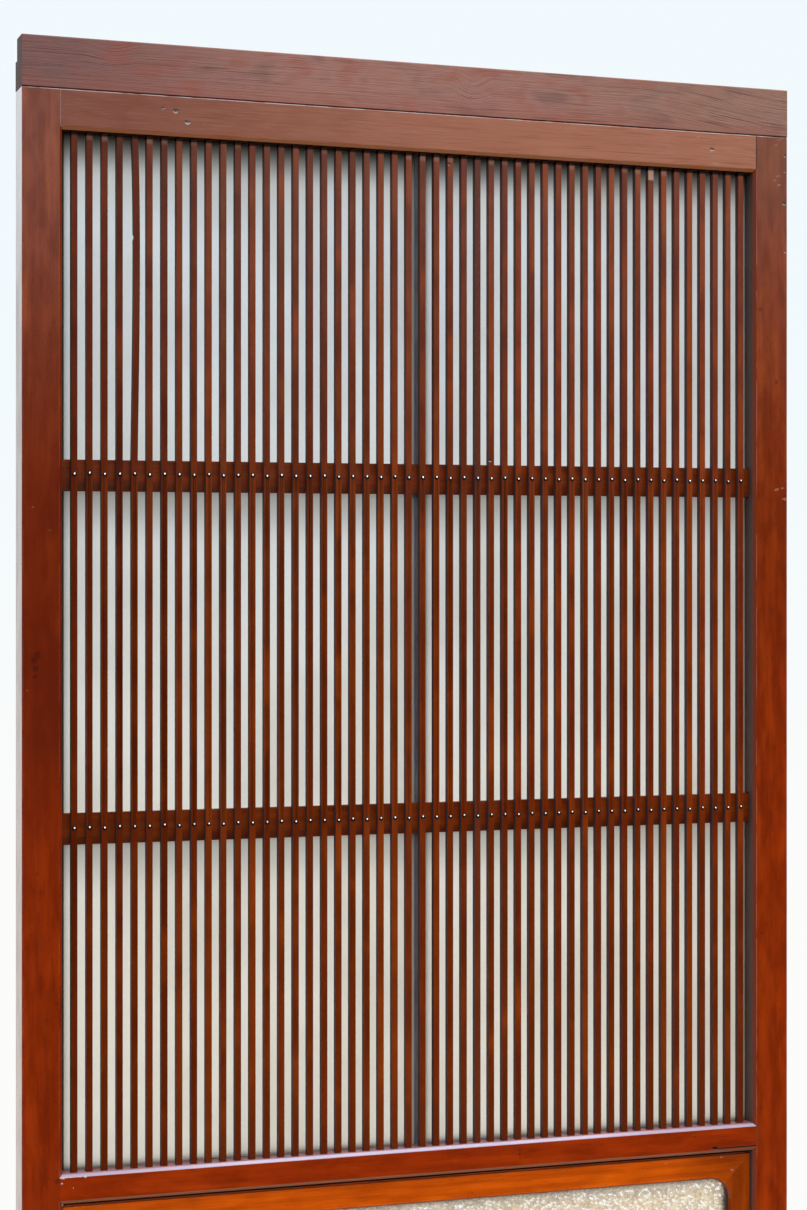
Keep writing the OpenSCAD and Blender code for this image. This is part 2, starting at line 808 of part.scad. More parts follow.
head_extension();
top_rail();
left_stile();
right_stile();
sill_rail();
bottom_rail();
upper_batten();
lower_batten();
left_slats();
centre_slat();
right_slats();
bowed_slat();
upper_nails();
lower_nails();
glazing_bar();
left_pane();
right_pane();
left_pane_outer_bead();
left_pane_inner_bead();
left_pane_top_bead();
left_pane_bottom_bead();
right_pane_outer_bead();
right_pane_inner_bead();
right_pane_top_bead();
right_pane_bottom_bead();
sash_top();
sash_bottom();
sash_left();
sash_right();
figured_pane();
sash_top_bead();
sash_bottom_bead();
sash_left_bead();
sash_right_bead();
left_roller_case();
right_roller_case();
left_axle();
right_axle();
left_wheel();
right_wheel();
roller_screws();
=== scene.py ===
# %% [markdown]
# # A sliding lattice door
# An old door leaf: a lacquered frame, forty-nine fine slats over frosted glass, and a lift-out sash
# below the sill. The solids come ready from the CAD model, at their real size and place. This lesson
# gives every piece the finish of the real one: worn lacquer, weathered wood, ground glass, nickel.
# The solids could be traced and modelled again here, but then looks and measures would drift apart.

# %% Load the door
import math

import bpy
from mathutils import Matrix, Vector, noise


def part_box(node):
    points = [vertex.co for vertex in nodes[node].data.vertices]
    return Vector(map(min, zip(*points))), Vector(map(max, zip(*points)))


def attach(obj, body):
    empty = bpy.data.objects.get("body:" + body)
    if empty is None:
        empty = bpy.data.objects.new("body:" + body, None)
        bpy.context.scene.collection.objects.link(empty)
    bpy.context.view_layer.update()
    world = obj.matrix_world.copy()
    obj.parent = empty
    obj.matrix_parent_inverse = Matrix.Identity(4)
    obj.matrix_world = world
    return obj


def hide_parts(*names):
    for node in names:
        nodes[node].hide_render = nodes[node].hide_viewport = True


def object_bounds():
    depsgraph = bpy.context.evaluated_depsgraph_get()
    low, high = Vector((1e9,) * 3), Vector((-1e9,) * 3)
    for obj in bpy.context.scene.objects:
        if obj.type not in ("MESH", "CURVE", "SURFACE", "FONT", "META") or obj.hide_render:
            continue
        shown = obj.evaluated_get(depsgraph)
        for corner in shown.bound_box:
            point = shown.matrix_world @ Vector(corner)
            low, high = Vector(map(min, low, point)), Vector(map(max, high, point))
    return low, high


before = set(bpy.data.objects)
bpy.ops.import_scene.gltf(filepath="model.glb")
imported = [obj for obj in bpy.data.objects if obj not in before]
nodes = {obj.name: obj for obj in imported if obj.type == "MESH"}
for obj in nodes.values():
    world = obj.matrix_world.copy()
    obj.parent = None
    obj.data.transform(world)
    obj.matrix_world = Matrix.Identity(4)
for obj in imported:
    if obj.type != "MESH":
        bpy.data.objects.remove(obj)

cad_low, cad_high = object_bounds()
scene = bpy.context.scene
scene.view_settings.view_transform = "Standard"
print("door", len(nodes), "solids,", [round(x, 3) for x in cad_high - cad_low], "m")

# %% [markdown]
# ## The camera
# The photograph was taken from the left, level and a little above the door's middle, with a long
# lens. A camera could be moved about until the picture looks right. Here its place was worked out
# from the edges of the frame instead: a level camera keeps the stiles upright, and the slope of the
# rails gives its distance and its turn to the right. Blender's sensor width belongs to the longer
# side of the picture, which is the height here.

# %% Camera at the photograph's viewing angle
PHOTO_H_PX = 1210
FOCAL_PX = 2520
SENSOR = 36.0
EYE = Vector((-0.91745, -2.59677, 1.22553))
TURN_RIGHT = math.radians(19.1)

camera = bpy.data.objects.new("camera", bpy.data.cameras.new("camera"))
camera.data.sensor_width = SENSOR
camera.data.lens = SENSOR * FOCAL_PX / PHOTO_H_PX
camera.location = EYE
camera.rotation_euler = (math.radians(90), 0, -TURN_RIGHT)
scene.collection.objects.link(camera)
scene.camera = camera
away = (EYE - Vector((0, 0, EYE.z))).length
print("camera lens", round(camera.data.lens, 1), "mm,", round(away, 2), "m off")

# %% [markdown]
# ## Shader maths as plain sums
# A finish is a sum of small effects: grain, fibres, dents, dust. Clicking nodes together hides that
# sum, and long lists of links are hard to read. Here `Wire` wraps one socket, so that `1 - mask` or
# `grain * 0.3` in Python adds the Math node that does it. `Sheet.add` makes any other node: its kind
# first, then its settings, then the values or wires of its sockets.

# %% A wire that can be added and multiplied
class Wire:
    """One output socket of a sheet of nodes."""

    def __init__(self, sheet, socket):
        self.sheet = sheet
        self.socket = socket

    def maths(self, operation, *values):
        return self.sheet.add("Math", {"operation": operation}, dict(enumerate(values)))

    def __add__(self, other):
        return self.maths("ADD", self, other)

    def __sub__(self, other):
        return self.maths("SUBTRACT", self, other)

    def __rsub__(self, other):
        return self.maths("SUBTRACT", other, self)

    def __mul__(self, other):
        return self.maths("MULTIPLY", self, other)

    def __truediv__(self, other):
        return self.maths("DIVIDE", self, other)

    def __abs__(self):
        return self.maths("ABSOLUTE", self)

    __radd__ = __add__
    __rmul__ = __mul__

    def or_more(self, other):
        return self.maths("MAXIMUM", self, other)

    def rounded(self):
        return self.maths("FLOOR", self + 0.5)

    def is_about(self, value, reach):
        return self.maths("COMPARE", self, value, reach)


print("wires carry", [name for name in vars(Wire) if not name.startswith("_")])


# %% A sheet of nodes
class Sheet:
    """The nodes of one finish."""

    def __init__(self, tree):
        self.tree = tree
        self.here = None

    def add(self, kind, settings=None, inputs=None, out=0):
        node = self.tree.nodes.new("ShaderNode" + kind)
        for name, value in (settings or {}).items():
            setattr(node, name, value)
        for name, value in (inputs or {}).items():
            self.feed(node.inputs[name], value)
        return Wire(self, node.outputs[out])

    def feed(self, socket, value):
        if isinstance(value, Wire):
            self.tree.links.new(value.socket, socket)
        elif socket.type == "RGBA":
            socket.default_value = (*value, 1.0)
        else:
            socket.default_value = value

    def show(self, surface):
        self.feed(self.tree.nodes["Material Output"].inputs["Surface"], surface)

    def place(self):
        if self.here is None:
            self.here = self.add("TexCoord", out="Object")
        return self.here

    def split(self, vector):
        parts = self.add("SeparateXYZ", inputs={0: vector}).socket.node
        return [Wire(self, output) for output in parts.outputs]

    def mix(self, share, first, second, how="MIX"):
        return self.add("Mix", {"data_type": "RGBA", "blend_type": how}, {0: share, 6: first, 7: second}, 2)

    def vector(self, operation, first, second, out=0):
        return self.add("VectorMath", {"operation": operation}, {0: first, 1: second}, out)

    def mottle(self, fine, detail, out=0):
        return self.add("TexNoise", inputs={"Vector": self.place(), "Scale": fine, "Detail": detail}, out=out)

    def smooth(self, value, low, high):
        limits = {"Value": value, "From Min": low, "From Max": high}
        return self.add("MapRange", {"interpolation_type": "SMOOTHSTEP"}, limits)

    def bump(self, height, depth):
        return self.add("Bump", inputs={"Height": height, "Distance": depth, "Strength": 1.0})


def new_finish(name):
    """A new material, its sheet of nodes and its main shader."""
    material = bpy.data.materials.new(name)
    material.use_nodes = True
    return material, Sheet(material.node_tree), material.node_tree.nodes["Principled BSDF"]


print("sheets can", [name for name in vars(Sheet) if not name.startswith("_")])

# %% [markdown]
# ## Light and background
# The door stood out of doors under an open sky: cool light from the front and above, little from
# below, and a bright white behind it that the glass lets through. A studio of many lamps could give
# that, but a sky that changes with its direction is simpler and also fills the reflections in the
# lacquer. What the camera sees past the door is plain white, by the Is Camera Ray switch, so the
# white costs no light on the door.

# %% Sky by direction
SKY_FRONT = (1.66, 1.74, 1.80)
SKY_ABOVE = (0.80, 0.88, 0.97)
SKY_LOW = (0.10, 0.08, 0.06)
BACK_HIGH = (1.16, 1.25, 1.30)
BACK_LOW = (1.32, 1.27, 1.18)
PALE_TOP = (0.88, 0.95, 0.985)
PALE_FOOT = (0.97, 0.97, 0.955)
SKY_STARTS = (0.04, 0.26)
SKY_DIMS = (0.45, 0.85)
BACK_STARTS = (0.0, 0.3)
BACK_COOLS = (-0.2, 0.2)
PALE_COOLS = (-0.15, 0.15)

scene.world = bpy.data.worlds.new("open_sky")
scene.world.use_nodes = True
sky = Sheet(scene.world.node_tree)
_, toward_back, upward = sky.split(sky.add("TexCoord", out="Generated"))
front_light = sky.mix(sky.smooth(upward, *SKY_STARTS), SKY_LOW, SKY_FRONT)
front_light = sky.mix(sky.smooth(upward, *SKY_DIMS), front_light, SKY_ABOVE)
back_light = sky.mix(sky.smooth(upward, *BACK_COOLS), BACK_LOW, BACK_HIGH)
all_light = sky.mix(sky.smooth(toward_back, *BACK_STARTS), front_light, back_light)
pale = sky.mix(sky.smooth(upward, *PALE_COOLS), PALE_FOOT, PALE_TOP)
seen = sky.mix(sky.add("LightPath", out="Is Camera Ray"), all_light, pale)
sky.feed(scene.world.node_tree.nodes["Background"].inputs["Color"], seen)
print("sky with", len(scene.world.node_tree.nodes), "nodes")

# %% One large soft lamp overhead, where the sill's chamfer mirrors it
LAMP_W = 5.0
LAMP_D = 1.3
LAMP_GLOW = 7.0
LAMP_WATTS = math.pi * LAMP_W * LAMP_D * LAMP_GLOW
LAMP_TINT = (0.70, 0.82, 1.0)
LAMP_PLACE = Vector((2.0, -1.3, 6.4))
LAMP_AIM = Vector((0, 0, 0.63))

lamp = bpy.data.objects.new("soft_lamp", bpy.data.lights.new("soft_lamp", "AREA"))
lamp.data.shape = "RECTANGLE"
lamp.data.size = LAMP_W
lamp.data.size_y = LAMP_D
lamp.data.energy = LAMP_WATTS
lamp.data.color = LAMP_TINT
lamp.location = LAMP_PLACE
lamp.rotation_euler = (LAMP_AIM - LAMP_PLACE).to_track_quat("-Z", "Y").to_euler()
scene.collection.objects.link(lamp)
print("lamp", round(LAMP_WATTS), "W,", LAMP_W, "by", LAMP_D, "m")

# %% [markdown]
# ## The floor
# The wheels stand on a pale floor that only has to catch the shadow. A large plane would end in a
# hard line against the white, so the floor is a disc whose material fades to clear at its rim.

# %% Floor disc
FLOOR_R = 1.9
FLOOR_FADE = 1.0
FLOOR_SIDES = 96
FLOOR_TONE = (0.68, 0.635, 0.575)
FLOOR_DARK = 0.85
FLOOR_GRIT = 180.0
GRIT_SHARE = 0.12
FLOOR_ROUGH = 0.8

rim = [(FLOOR_R * math.cos(turn), FLOOR_R * math.sin(turn), 0.0)
       for turn in (2 * math.pi * side / FLOOR_SIDES for side in range(FLOOR_SIDES))]
disc = bpy.data.meshes.new("floor")
disc.from_pydata(rim, [], [tuple(range(FLOOR_SIDES))])
floor = bpy.data.objects.new("floor", disc)
scene.collection.objects.link(floor)

pale_floor, ground, matt = new_finish("pale_floor")
matt.inputs["Roughness"].default_value = FLOOR_ROUGH
grit = ground.mottle(FLOOR_GRIT, 3.0)
ground.feed(matt.inputs["Base Color"],
            ground.mix(grit * GRIT_SHARE, FLOOR_TONE, [FLOOR_DARK * tone for tone in FLOOR_TONE]))
from_middle = ground.add("VectorMath", {"operation": "LENGTH"}, {0: ground.place()}, "Value")
ground.show(ground.add("MixShader", inputs={0: ground.smooth(from_middle, FLOOR_FADE, FLOOR_R),
                                            1: Wire(ground, matt.outputs[0]),
                                            2: ground.add("BsdfTransparent")}))
disc.materials.append(pale_floor)
print("floor disc of", FLOOR_R, "m radius")

# %% [markdown]
# ## Edges that catch the light
# No hand-planed edge is a perfect corner: a hair of roundness draws the bright lines that part one
# piece from the next. The CAD meshes may not be changed, but a modifier leaves them as they are and
# rounds what is rendered: Weld joins the split corners of the imported mesh, Bevel then rounds every
# edge that turns by more than a set angle.

# %% Rounding for the wooden pieces
EDGE_TURN = math.radians(35)
WELD_REACH = 0.00001
BEVEL_STEPS = 2
FRAME_ROUND = 0.0006
SASH_ROUND = 0.0003
SLAT_ROUND = 0.00035


def soften(names, radius):
    for name in names:
        weld = nodes[name].modifiers.new("joined_corners", "WELD")
        weld.merge_threshold = WELD_REACH
        bevel = nodes[name].modifiers.new("soft_edges", "BEVEL")
        bevel.width = radius
        bevel.segments = BEVEL_STEPS
        bevel.limit_method = "ANGLE"
        bevel.angle_limit = EDGE_TURN
        bevel.use_clamp_overlap = False
        bevel.harden_normals = True


HEAD = ["head_extension"]
FRAME_UPRIGHT = ["left_stile", "right_stile"]
FRAME_LEVEL = ["top_rail", "sill_rail", "bottom_rail"]
SLATS = ["left_slats", "centre_slat", "right_slats", "bowed_slat"]
BATTENS = ["upper_batten", "lower_batten"]
SASH_LEVEL = ["sash_top", "sash_bottom"]
SASH_UPRIGHT = ["sash_left", "sash_right"]

soften(HEAD + FRAME_UPRIGHT + FRAME_LEVEL, FRAME_ROUND)
soften(SASH_LEVEL + SASH_UPRIGHT, SASH_ROUND)
soften(SLATS, SLAT_ROUND)
print("softened", sum(len(piece.modifiers) > 0 for piece in nodes.values()), "pieces")

# %% [markdown]
# ## Wood, as strokes along the grain
# Wood is long in one direction: the same noise, drawn out along the grain, gives growth rings,
# fibres and the cloudy patches of old lacquer, each at its own width and length. An image of wood
# would repeat and smear on the ends, while noise in the door's own metres runs through every piece
# and shows end grain where a piece is cut across.

# %% Grain strokes
STROKE_ROUGH = 0.55
SEED_WAY = (1.0, 1.7, 0.6)


def grain(sheet, along, width, length, seed, detail=3.0, wave=0.0, place=None):
    scale = {"X": (1 / length, 1 / width, 1 / width), "Z": (1 / width, 1 / width, 1 / length)}[along]
    drawn = sheet.vector("MULTIPLY", sheet.place() if place is None else place, scale)
    moved = sheet.vector("ADD", drawn, [seed * way for way in SEED_WAY])
    return sheet.add("TexNoise", inputs={"Vector": moved, "Scale": 1.0, "Detail": detail,
                                         "Roughness": STROKE_ROUGH, "Distortion": wave})


def turned(sheet):
    """How far a face turns to the right and upward."""
    across, _, up = sheet.split(sheet.add("NewGeometry", out="Normal"))
    return across, up


print("grain strokes are moved by their seed times", SEED_WAY)

# %% Dents, chips and stains at chosen places
RAGGED = 0.004
RAGGED_FINE = 420.0
MARK_CORE = 0.6


def marks_at(sheet, face, places, drop=0.0, size=1.0, wide=1.0):
    """A mask of small ragged marks at chosen places (across, up, radius) on a face at one depth, each set
    lower by a share of its radius, and drawn out across the door."""
    swing = {0: sheet.mottle(RAGGED_FINE, 2.0, "Color"), 1: [RAGGED] * 3, 2: sheet.place()}
    moved = sheet.add("VectorMath", {"operation": "MULTIPLY_ADD"}, swing)
    drawn = sheet.vector("MULTIPLY", moved, (1 / wide, 1.0, 1.0))
    half = RAGGED / 2
    mask = None
    for across, up, radius in places:
        middle = ((across + half) / wide, face + half, up + half - drop * radius)
        away = sheet.vector("DISTANCE", drawn, middle, "Value")
        mark = sheet.smooth(away, size * radius, MARK_CORE * size * radius)
        mask = mark if mask is None else mask.or_more(mark)
    return mask


print("marks are ragged by", RAGGED, "m")

# %% [markdown]
# ## Old lacquer
# The frame was brushed with a red-brown lacquer that lets the grain through. Weather and hands have
# greyed it towards the top and left it a deep orange-red below. A flat colour with a clear coat would
# look like plastic, so several layers are mixed: the colour by height, growth rings, fine fibres, and
# patches where the lacquer is thick and dark or thin and glowing. Each stroke is given by its width
# and its length in metres.

# %% Colour of brushed lacquer
GREYED = (0.95, 1.78)
DARK_MARK_AND_SHADE = (0.012, 0.006, 0.005)
THICK = (0.46, 0.38, 0.40)
THIN = (1.45, 1.75, 1.50)
RING = (0.006, 0.16)
FIBRE = (0.0011, 0.035)
CLOUD = (0.014, 0.045)
GLOW = (0.020, 0.10)
PIT = (0.0022, 0.0040)


def brushed(sheet, along, low, high, rings, seed, streak, patchy):
    """Colour, relief and thick patches of lacquer over wood."""
    _, _, height = sheet.split(sheet.place())
    body = sheet.mix(sheet.smooth(height, *GREYED), low, high)
    ring = sheet.smooth(grain(sheet, along, *RING, seed), 0.36, 0.68)
    fibre = grain(sheet, along, *FIBRE, seed + 3)
    cloud = sheet.smooth(grain(sheet, along, *CLOUD, seed + 7), 0.38, 0.66)
    glow = sheet.smooth(grain(sheet, along, *GLOW, seed + 9), 0.46, 0.64)
    pits = sheet.smooth(grain(sheet, along, *PIT, seed + 13, detail=1.0), 0.70, 0.77)
    colour = sheet.mix(ring * streak, body, rings)
    colour = sheet.mix(sheet.smooth(fibre, 0.48, 0.75) * 0.35, colour, rings)
    colour = sheet.mix(cloud * patchy, colour, THICK, "MULTIPLY")
    colour = sheet.mix(glow * patchy, colour, THIN, "MULTIPLY")
    colour = sheet.mix(pits * 0.4, colour, DARK_MARK_AND_SHADE)
    return colour, ring * 0.5 + fibre, cloud


print("growth rings", RING, "m, fibres", FIBRE, "m")

# %% [markdown]
# Use leaves its own layers on top: lacquer rubbed through on the rounded arrises, which are told by
# their normal and also carry a painted highlight, and single dents, scuffs, stains and chips. A painted
# reflection of the sky lies on what looks up. Painting them by hand would need an image, so each kind
# is a small function that mixes one more colour in.

# %% Dust, worn arrises and marks
REFLECTION_EDGE = 0.002
REFLECTION_THINS = (0.0068, 0.0076)
ARRIS_WEAR_AND_HIGHLIGHT = (0.58, 0.32, 0.24)
RUBBED = (0.005, 0.03)
LIT_RIM_AND_CHIP = (0.80, 0.70, 0.66)
SCUFF = (0.52, 0.25, 0.16)
DENT_WIDE = 1.8
SCUFF_WIDE = 2.5
CHIP_WIDE = 1.5


def painted_top_reflection(sheet, colour, level, tone):
    """Painted reflection of the sky on faces that look up above a level, fainter on the flat top."""
    _, _, height = sheet.split(sheet.place())
    _, up = turned(sheet)
    reflecting = sheet.smooth(up, 0.12, 0.4) * sheet.smooth(height, level, level + REFLECTION_EDGE)
    thinned = sheet.smooth(height, *(level + reach for reach in REFLECTION_THINS)) * 0.6
    return sheet.mix(reflecting * (1.0 - thinned) * 0.75, colour, tone)


# Pale rounded arrises: partly worn lacquer, partly painted highlight.
def worn_and_lit_arrises(sheet, colour, along, seed, worn):
    across, up = turned(sheet)
    slant = abs(across if along == "Z" else up)
    arris = sheet.smooth(slant, 0.08, 0.24) * sheet.smooth(slant, 0.62, 0.46)
    rubbed = sheet.smooth(grain(sheet, along, *RUBBED, seed + 11), 0.40, 0.58)
    return sheet.mix(arris * rubbed * worn, colour, ARRIS_WEAR_AND_HIGHLIGHT)


def marked(sheet, colour, face, stains, scuffs, dents, chips):
    if stains:
        colour = sheet.mix(marks_at(sheet, face, stains) * 0.4, colour, DARK_MARK_AND_SHADE)
    if scuffs:
        colour = sheet.mix(marks_at(sheet, face, scuffs, wide=SCUFF_WIDE) * 0.55, colour, SCUFF)
    # A dent is a dark pit with a pale rim below it: painted shade and painted highlight of the hollow.
    if dents:
        rim = marks_at(sheet, face, dents, drop=0.5, size=0.8, wide=DENT_WIDE)
        colour = sheet.mix(rim * 0.8, colour, LIT_RIM_AND_CHIP)
        pit = marks_at(sheet, face, dents, size=0.9, wide=DENT_WIDE)
        colour = sheet.mix(pit * 0.9, colour, DARK_MARK_AND_SHADE)
    if chips:
        colour = sheet.mix(marks_at(sheet, face, chips, wide=CHIP_WIDE) * 0.6, colour, LIT_RIM_AND_CHIP)
    return colour


print("dents are drawn out by", DENT_WIDE, "and scuffs by", SCUFF_WIDE)

# %% [markdown]
# Now the whole finish: the brushed colour, the marks, and a clear coat over all that was polished.
# Undersides and chosen side faces, such as the slats' flanks, are told by their normal: they are dull,
# as faces that were never polished, and their dark colour is partly bare wood and partly painted shade.
# One function serves every lacquered piece, because they differ only in their colours and in what has
# happened to them.

# %% Lacquer over wood
BARE_AND_SHADED = (0.020, 0.010, 0.010)
END_GRAIN = (0.045, 0.016, 0.009)
SIDE_TURN = (0.8, 0.95)
UNDER_TURN = (-0.85, -0.97)
LOWER_TURN = (-0.25, -0.6)
SHADOW_EDGE = 0.0015
RELIEF = 0.00012
BODY_ROUGH = 0.6


def lacquer(name, along, low, high, rings, seed, rough=0.15, sheen=1.0, streak=0.3, patchy=0.45, worn=0.0,
            bare=0, flank_tone=BARE_AND_SHADED, under=None, painted_light=None, shadow_from=None, face=cad_low.y, dents=None,
            chips=None, scuffs=None, stains=None, shade=None, dull=None):
    material, sheet, shader = new_finish(name)
    _, _, height = sheet.split(sheet.place())
    across, up = turned(sheet)
    colour, relief, cloud = brushed(sheet, along, low, high, rings, seed, streak, patchy)
    if shade is not None:
        colour = shade(sheet, colour)
    # Faces that turn down get their own colour; on the top rail it is the orange without the painted sheen.
    if under is not None:
        colour = sheet.mix(sheet.smooth(up, *LOWER_TURN), colour, under)
    if painted_light is not None:
        colour = painted_top_reflection(sheet, colour, *painted_light)
    if worn:
        colour = worn_and_lit_arrises(sheet, colour, along, seed, worn)
    colour = marked(sheet, colour, face, stains, scuffs, dents, chips)
    ends = sheet.smooth(abs(across if along == "X" else up), *SIDE_TURN)
    colour = sheet.mix(ends * 0.8, colour, END_GRAIN)
    # Undersides: dull, and darkened by painted shade.
    unpolished_and_shaded = sheet.smooth(up, *UNDER_TURN)
    colour = sheet.mix(unpolished_and_shaded * 0.9, colour, BARE_AND_SHADED)
    # Chosen side faces: dull, coloured partly as bare wood and partly by painted shade.
    flank = {-1: -1 * across, 1: across, 2: abs(across)}.get(bare)
    if flank is not None:
        flank = sheet.smooth(flank, *SIDE_TURN)
        colour = sheet.mix(flank * 0.9, colour, flank_tone)
        unpolished_and_shaded = unpolished_and_shaded.or_more(flank * 0.85)
    # Painted shadow above a height: under the top rail over the slat tops, and under the sill on the sash.
    if shadow_from is not None:
        shadow_above = sheet.smooth(height, shadow_from, shadow_from + SHADOW_EDGE)
        colour = sheet.mix(shadow_above * 0.92, colour, DARK_MARK_AND_SHADE)
        unpolished_and_shaded = unpolished_and_shaded.or_more(shadow_above)
    if dull is not None:
        unpolished_and_shaded = unpolished_and_shaded.or_more(dull(sheet))
    sheet.feed(shader.inputs["Base Color"], colour)
    sheet.feed(shader.inputs["Normal"], sheet.bump(relief, RELIEF))
    shader.inputs["Roughness"].default_value = BODY_ROUGH
    shader.inputs["Specular IOR Level"].default_value = 0.0
    sheet.feed(shader.inputs["Coat Weight"], (1.0 - cloud * 0.2) * (1.0 - unpolished_and_shaded * 0.9) * sheen)
    shader.inputs["Coat Roughness"].default_value = rough
    return material


def dress(names, material):
    for name in names:
        nodes[name].data.materials.clear()
        nodes[name].data.materials.append(material)


print("bare wood is", BARE_AND_SHADED)

# %% [markdown]
# ## Stiles
# The left stile is darker in its middle. Its grain runs upward. A dark band by height, mixed in
# between two levels, is enough for that. Where the stiles and rails meet the head, a thin pale line
# along the arris is a painted highlight. The outer edges are partly worn grey and partly a painted
# reflection of the white behind, paler towards the top, and the right stile's inner chamfer is a dull
# wine red.

# %% Lacquer on the stiles
STILE_LOW = (0.33, 0.030, 0.0009)
LEFT_LOW = (0.308, 0.0265, 0.0007)
STILE_HIGH = (0.28, 0.046, 0.007)
STILE_RINGS = (0.15, 0.013, 0.0022)
# Inner sides of the stiles: partly bare wood, partly painted shade.
INNER_SIDE = (0.105, 0.078, 0.068)
LEFT_SCUFFS = [(-0.4289, 1.3260, 0.0007), (-0.4112, 1.3026, 0.0007), (-0.4337, 1.1370, 0.0006)]
LEFT_STAINS = [(-0.4270, 1.1513, 0.0030), (-0.4254, 1.1600, 0.0040), (-0.4270, 1.1690, 0.0045),
               (-0.4240, 1.1740, 0.0045), (-0.4035, 0.6300, 0.0035)]
RIGHT_DENTS = [(0.4362, 1.7390, 0.0013), (0.4370, 1.7210, 0.0012), (0.4357, 1.6849, 0.0021),
               (0.4369, 1.6290, 0.0012)]
RIGHT_SCUFFS = [(0.4293, 1.7565, 0.0010), (0.4255, 1.7506, 0.0009), (0.4280, 1.7153, 0.0012),
                (0.4242, 1.7105, 0.0009), (0.4293, 1.7051, 0.0011), (0.4265, 1.3572, 0.0014),
                (0.4335, 1.3590, 0.0011), (0.4365, 1.3465, 0.0018)]
RIGHT_STAINS = [(0.4054, 1.5623, 0.0030), (0.4261, 1.4801, 0.0030)]
DARK_STARTS = (0.90, 1.12)
DARK_ENDS = (1.32, 1.56)
DARK_PATCHES = (0.03, 0.09)
CHAMFER_TONE = (0.23, 0.038, 0.016)
FADED_TOP = (0.215, 0.062, 0.020)
FADED_FROM = (1.60, 1.75)
# Outer edges: partly worn grey, partly painted reflection, paler towards the top.
EDGE_WEAR_AND_REFLECTION = (0.245, 0.185, 0.180)
EDGE_REFLECTION_TOP = (0.46, 0.43, 0.44)
REFLECTION_PALES = (1.50, 1.72)
EDGE_STROKE = (0.02, 0.10)
EDGE_RAGGED = 0.1
FRONT_DEPTH = (0.008, 0.006)
JOINT = 1.760
JOINT_LINE = (0.0014, 0.0008)
JOINT_STROKE = (0.01, 0.02)
JOINT_HIGHLIGHT = (0.62, 0.50, 0.50)


def on_front(sheet):
    _, depth, _ = sheet.split(sheet.place())
    return sheet.smooth(depth, *(cad_low.y + reach for reach in FRONT_DEPTH))


# Painted highlight: a thin pale line along the arris under the head.
def painted_joint_highlight(sheet, colour):
    _, _, height = sheet.split(sheet.place())
    broken = sheet.smooth(grain(sheet, "X", *JOINT_STROKE, 81.0), 0.35, 0.6) * on_front(sheet)
    line = sheet.smooth(height, *(JOINT - reach for reach in JOINT_LINE))
    return sheet.mix(line * broken * 0.75, colour, JOINT_HIGHLIGHT)


# A darker band in the left stile's middle, then the outer edge and the joint line.
def middle_band_and_edges(sheet, colour):
    _, _, height = sheet.split(sheet.place())
    band = sheet.smooth(height, *DARK_STARTS) * (1 - sheet.smooth(height, *DARK_ENDS))
    uneven = 0.58 + 0.4 * sheet.smooth(grain(sheet, "Z", *DARK_PATCHES, 83.0), 0.38, 0.62)
    colour = sheet.mix(band * uneven, colour, STILE_RINGS)
    # Outer edge: partly worn grey, partly painted reflection.
    ragged = (grain(sheet, "Z", *EDGE_STROKE, 85.0) - 0.5) * EDGE_RAGGED
    edge = sheet.mix(sheet.smooth(height + ragged, *REFLECTION_PALES), EDGE_WEAR_AND_REFLECTION, EDGE_REFLECTION_TOP)
    across, _ = turned(sheet)
    outer = sheet.smooth(across, *(-turn for turn in SIDE_TURN))
    return painted_joint_highlight(sheet, sheet.mix(outer * 0.9, colour, edge))


def inner_chamfer(sheet):
    across, _ = turned(sheet)
    return 0.95 * sheet.smooth(across, -0.35, -0.6) * sheet.smooth(across, -0.9, -0.8)


def wine_chamfer(sheet, colour):
    across, _ = turned(sheet)
    _, _, height = sheet.split(sheet.place())
    colour = sheet.mix(sheet.smooth(height, *FADED_FROM) * 0.5, colour, FADED_TOP)
    colour = sheet.mix(inner_chamfer(sheet), colour, CHAMFER_TONE)
    return painted_joint_highlight(sheet, sheet.mix(sheet.smooth(across, *SIDE_TURN) * 0.9, colour, EDGE_WEAR_AND_REFLECTION))


dress(["left_stile"], lacquer("left_stile_lacquer", "Z", LEFT_LOW, STILE_HIGH, STILE_RINGS, 1.0,
                              rough=0.10, sheen=0.93, worn=0.15, bare=1, flank_tone=INNER_SIDE,
                              scuffs=LEFT_SCUFFS, stains=LEFT_STAINS, shade=middle_band_and_edges))
dress(["right_stile"], lacquer("right_stile_lacquer", "Z", STILE_LOW, STILE_HIGH, STILE_RINGS, 5.0,
                               rough=0.10, sheen=0.85, worn=0.4, bare=-1, flank_tone=INNER_SIDE,
                               dents=RIGHT_DENTS, scuffs=RIGHT_SCUFFS, stains=RIGHT_STAINS,
                               shade=wine_chamfer, dull=inner_chamfer))
print("stiles lacquered, dents:", len(RIGHT_DENTS))

# %% [markdown]
# ## Rails
# The top rail has greyed most, more so towards the right, with pale fibres and a few dents; its pale
# pink is partly a painted sheen of the sky, and its lower chamfer, which looks down, is painted the
# deeper orange that shows without that sheen. The sill is the reddest piece, with a painted reflection
# of the sky on its top; its left end is chipped, and the split near its right end is dark. Their grain
# runs across. The split is cut in the solid; a mask at the same place paints its shadow, because so
# fine a cut gives little shadow by itself.

# %% Lacquer on the top rail
TOP_LEFT = (0.19, 0.026, 0.005)
# Pale pink, partly a painted sheen of the sky.
TOP_RIGHT = (0.45, 0.145, 0.068)
TOP_RINGS = (0.17, 0.040, 0.016)
TOP_PALE = (0.55, 0.27, 0.18)
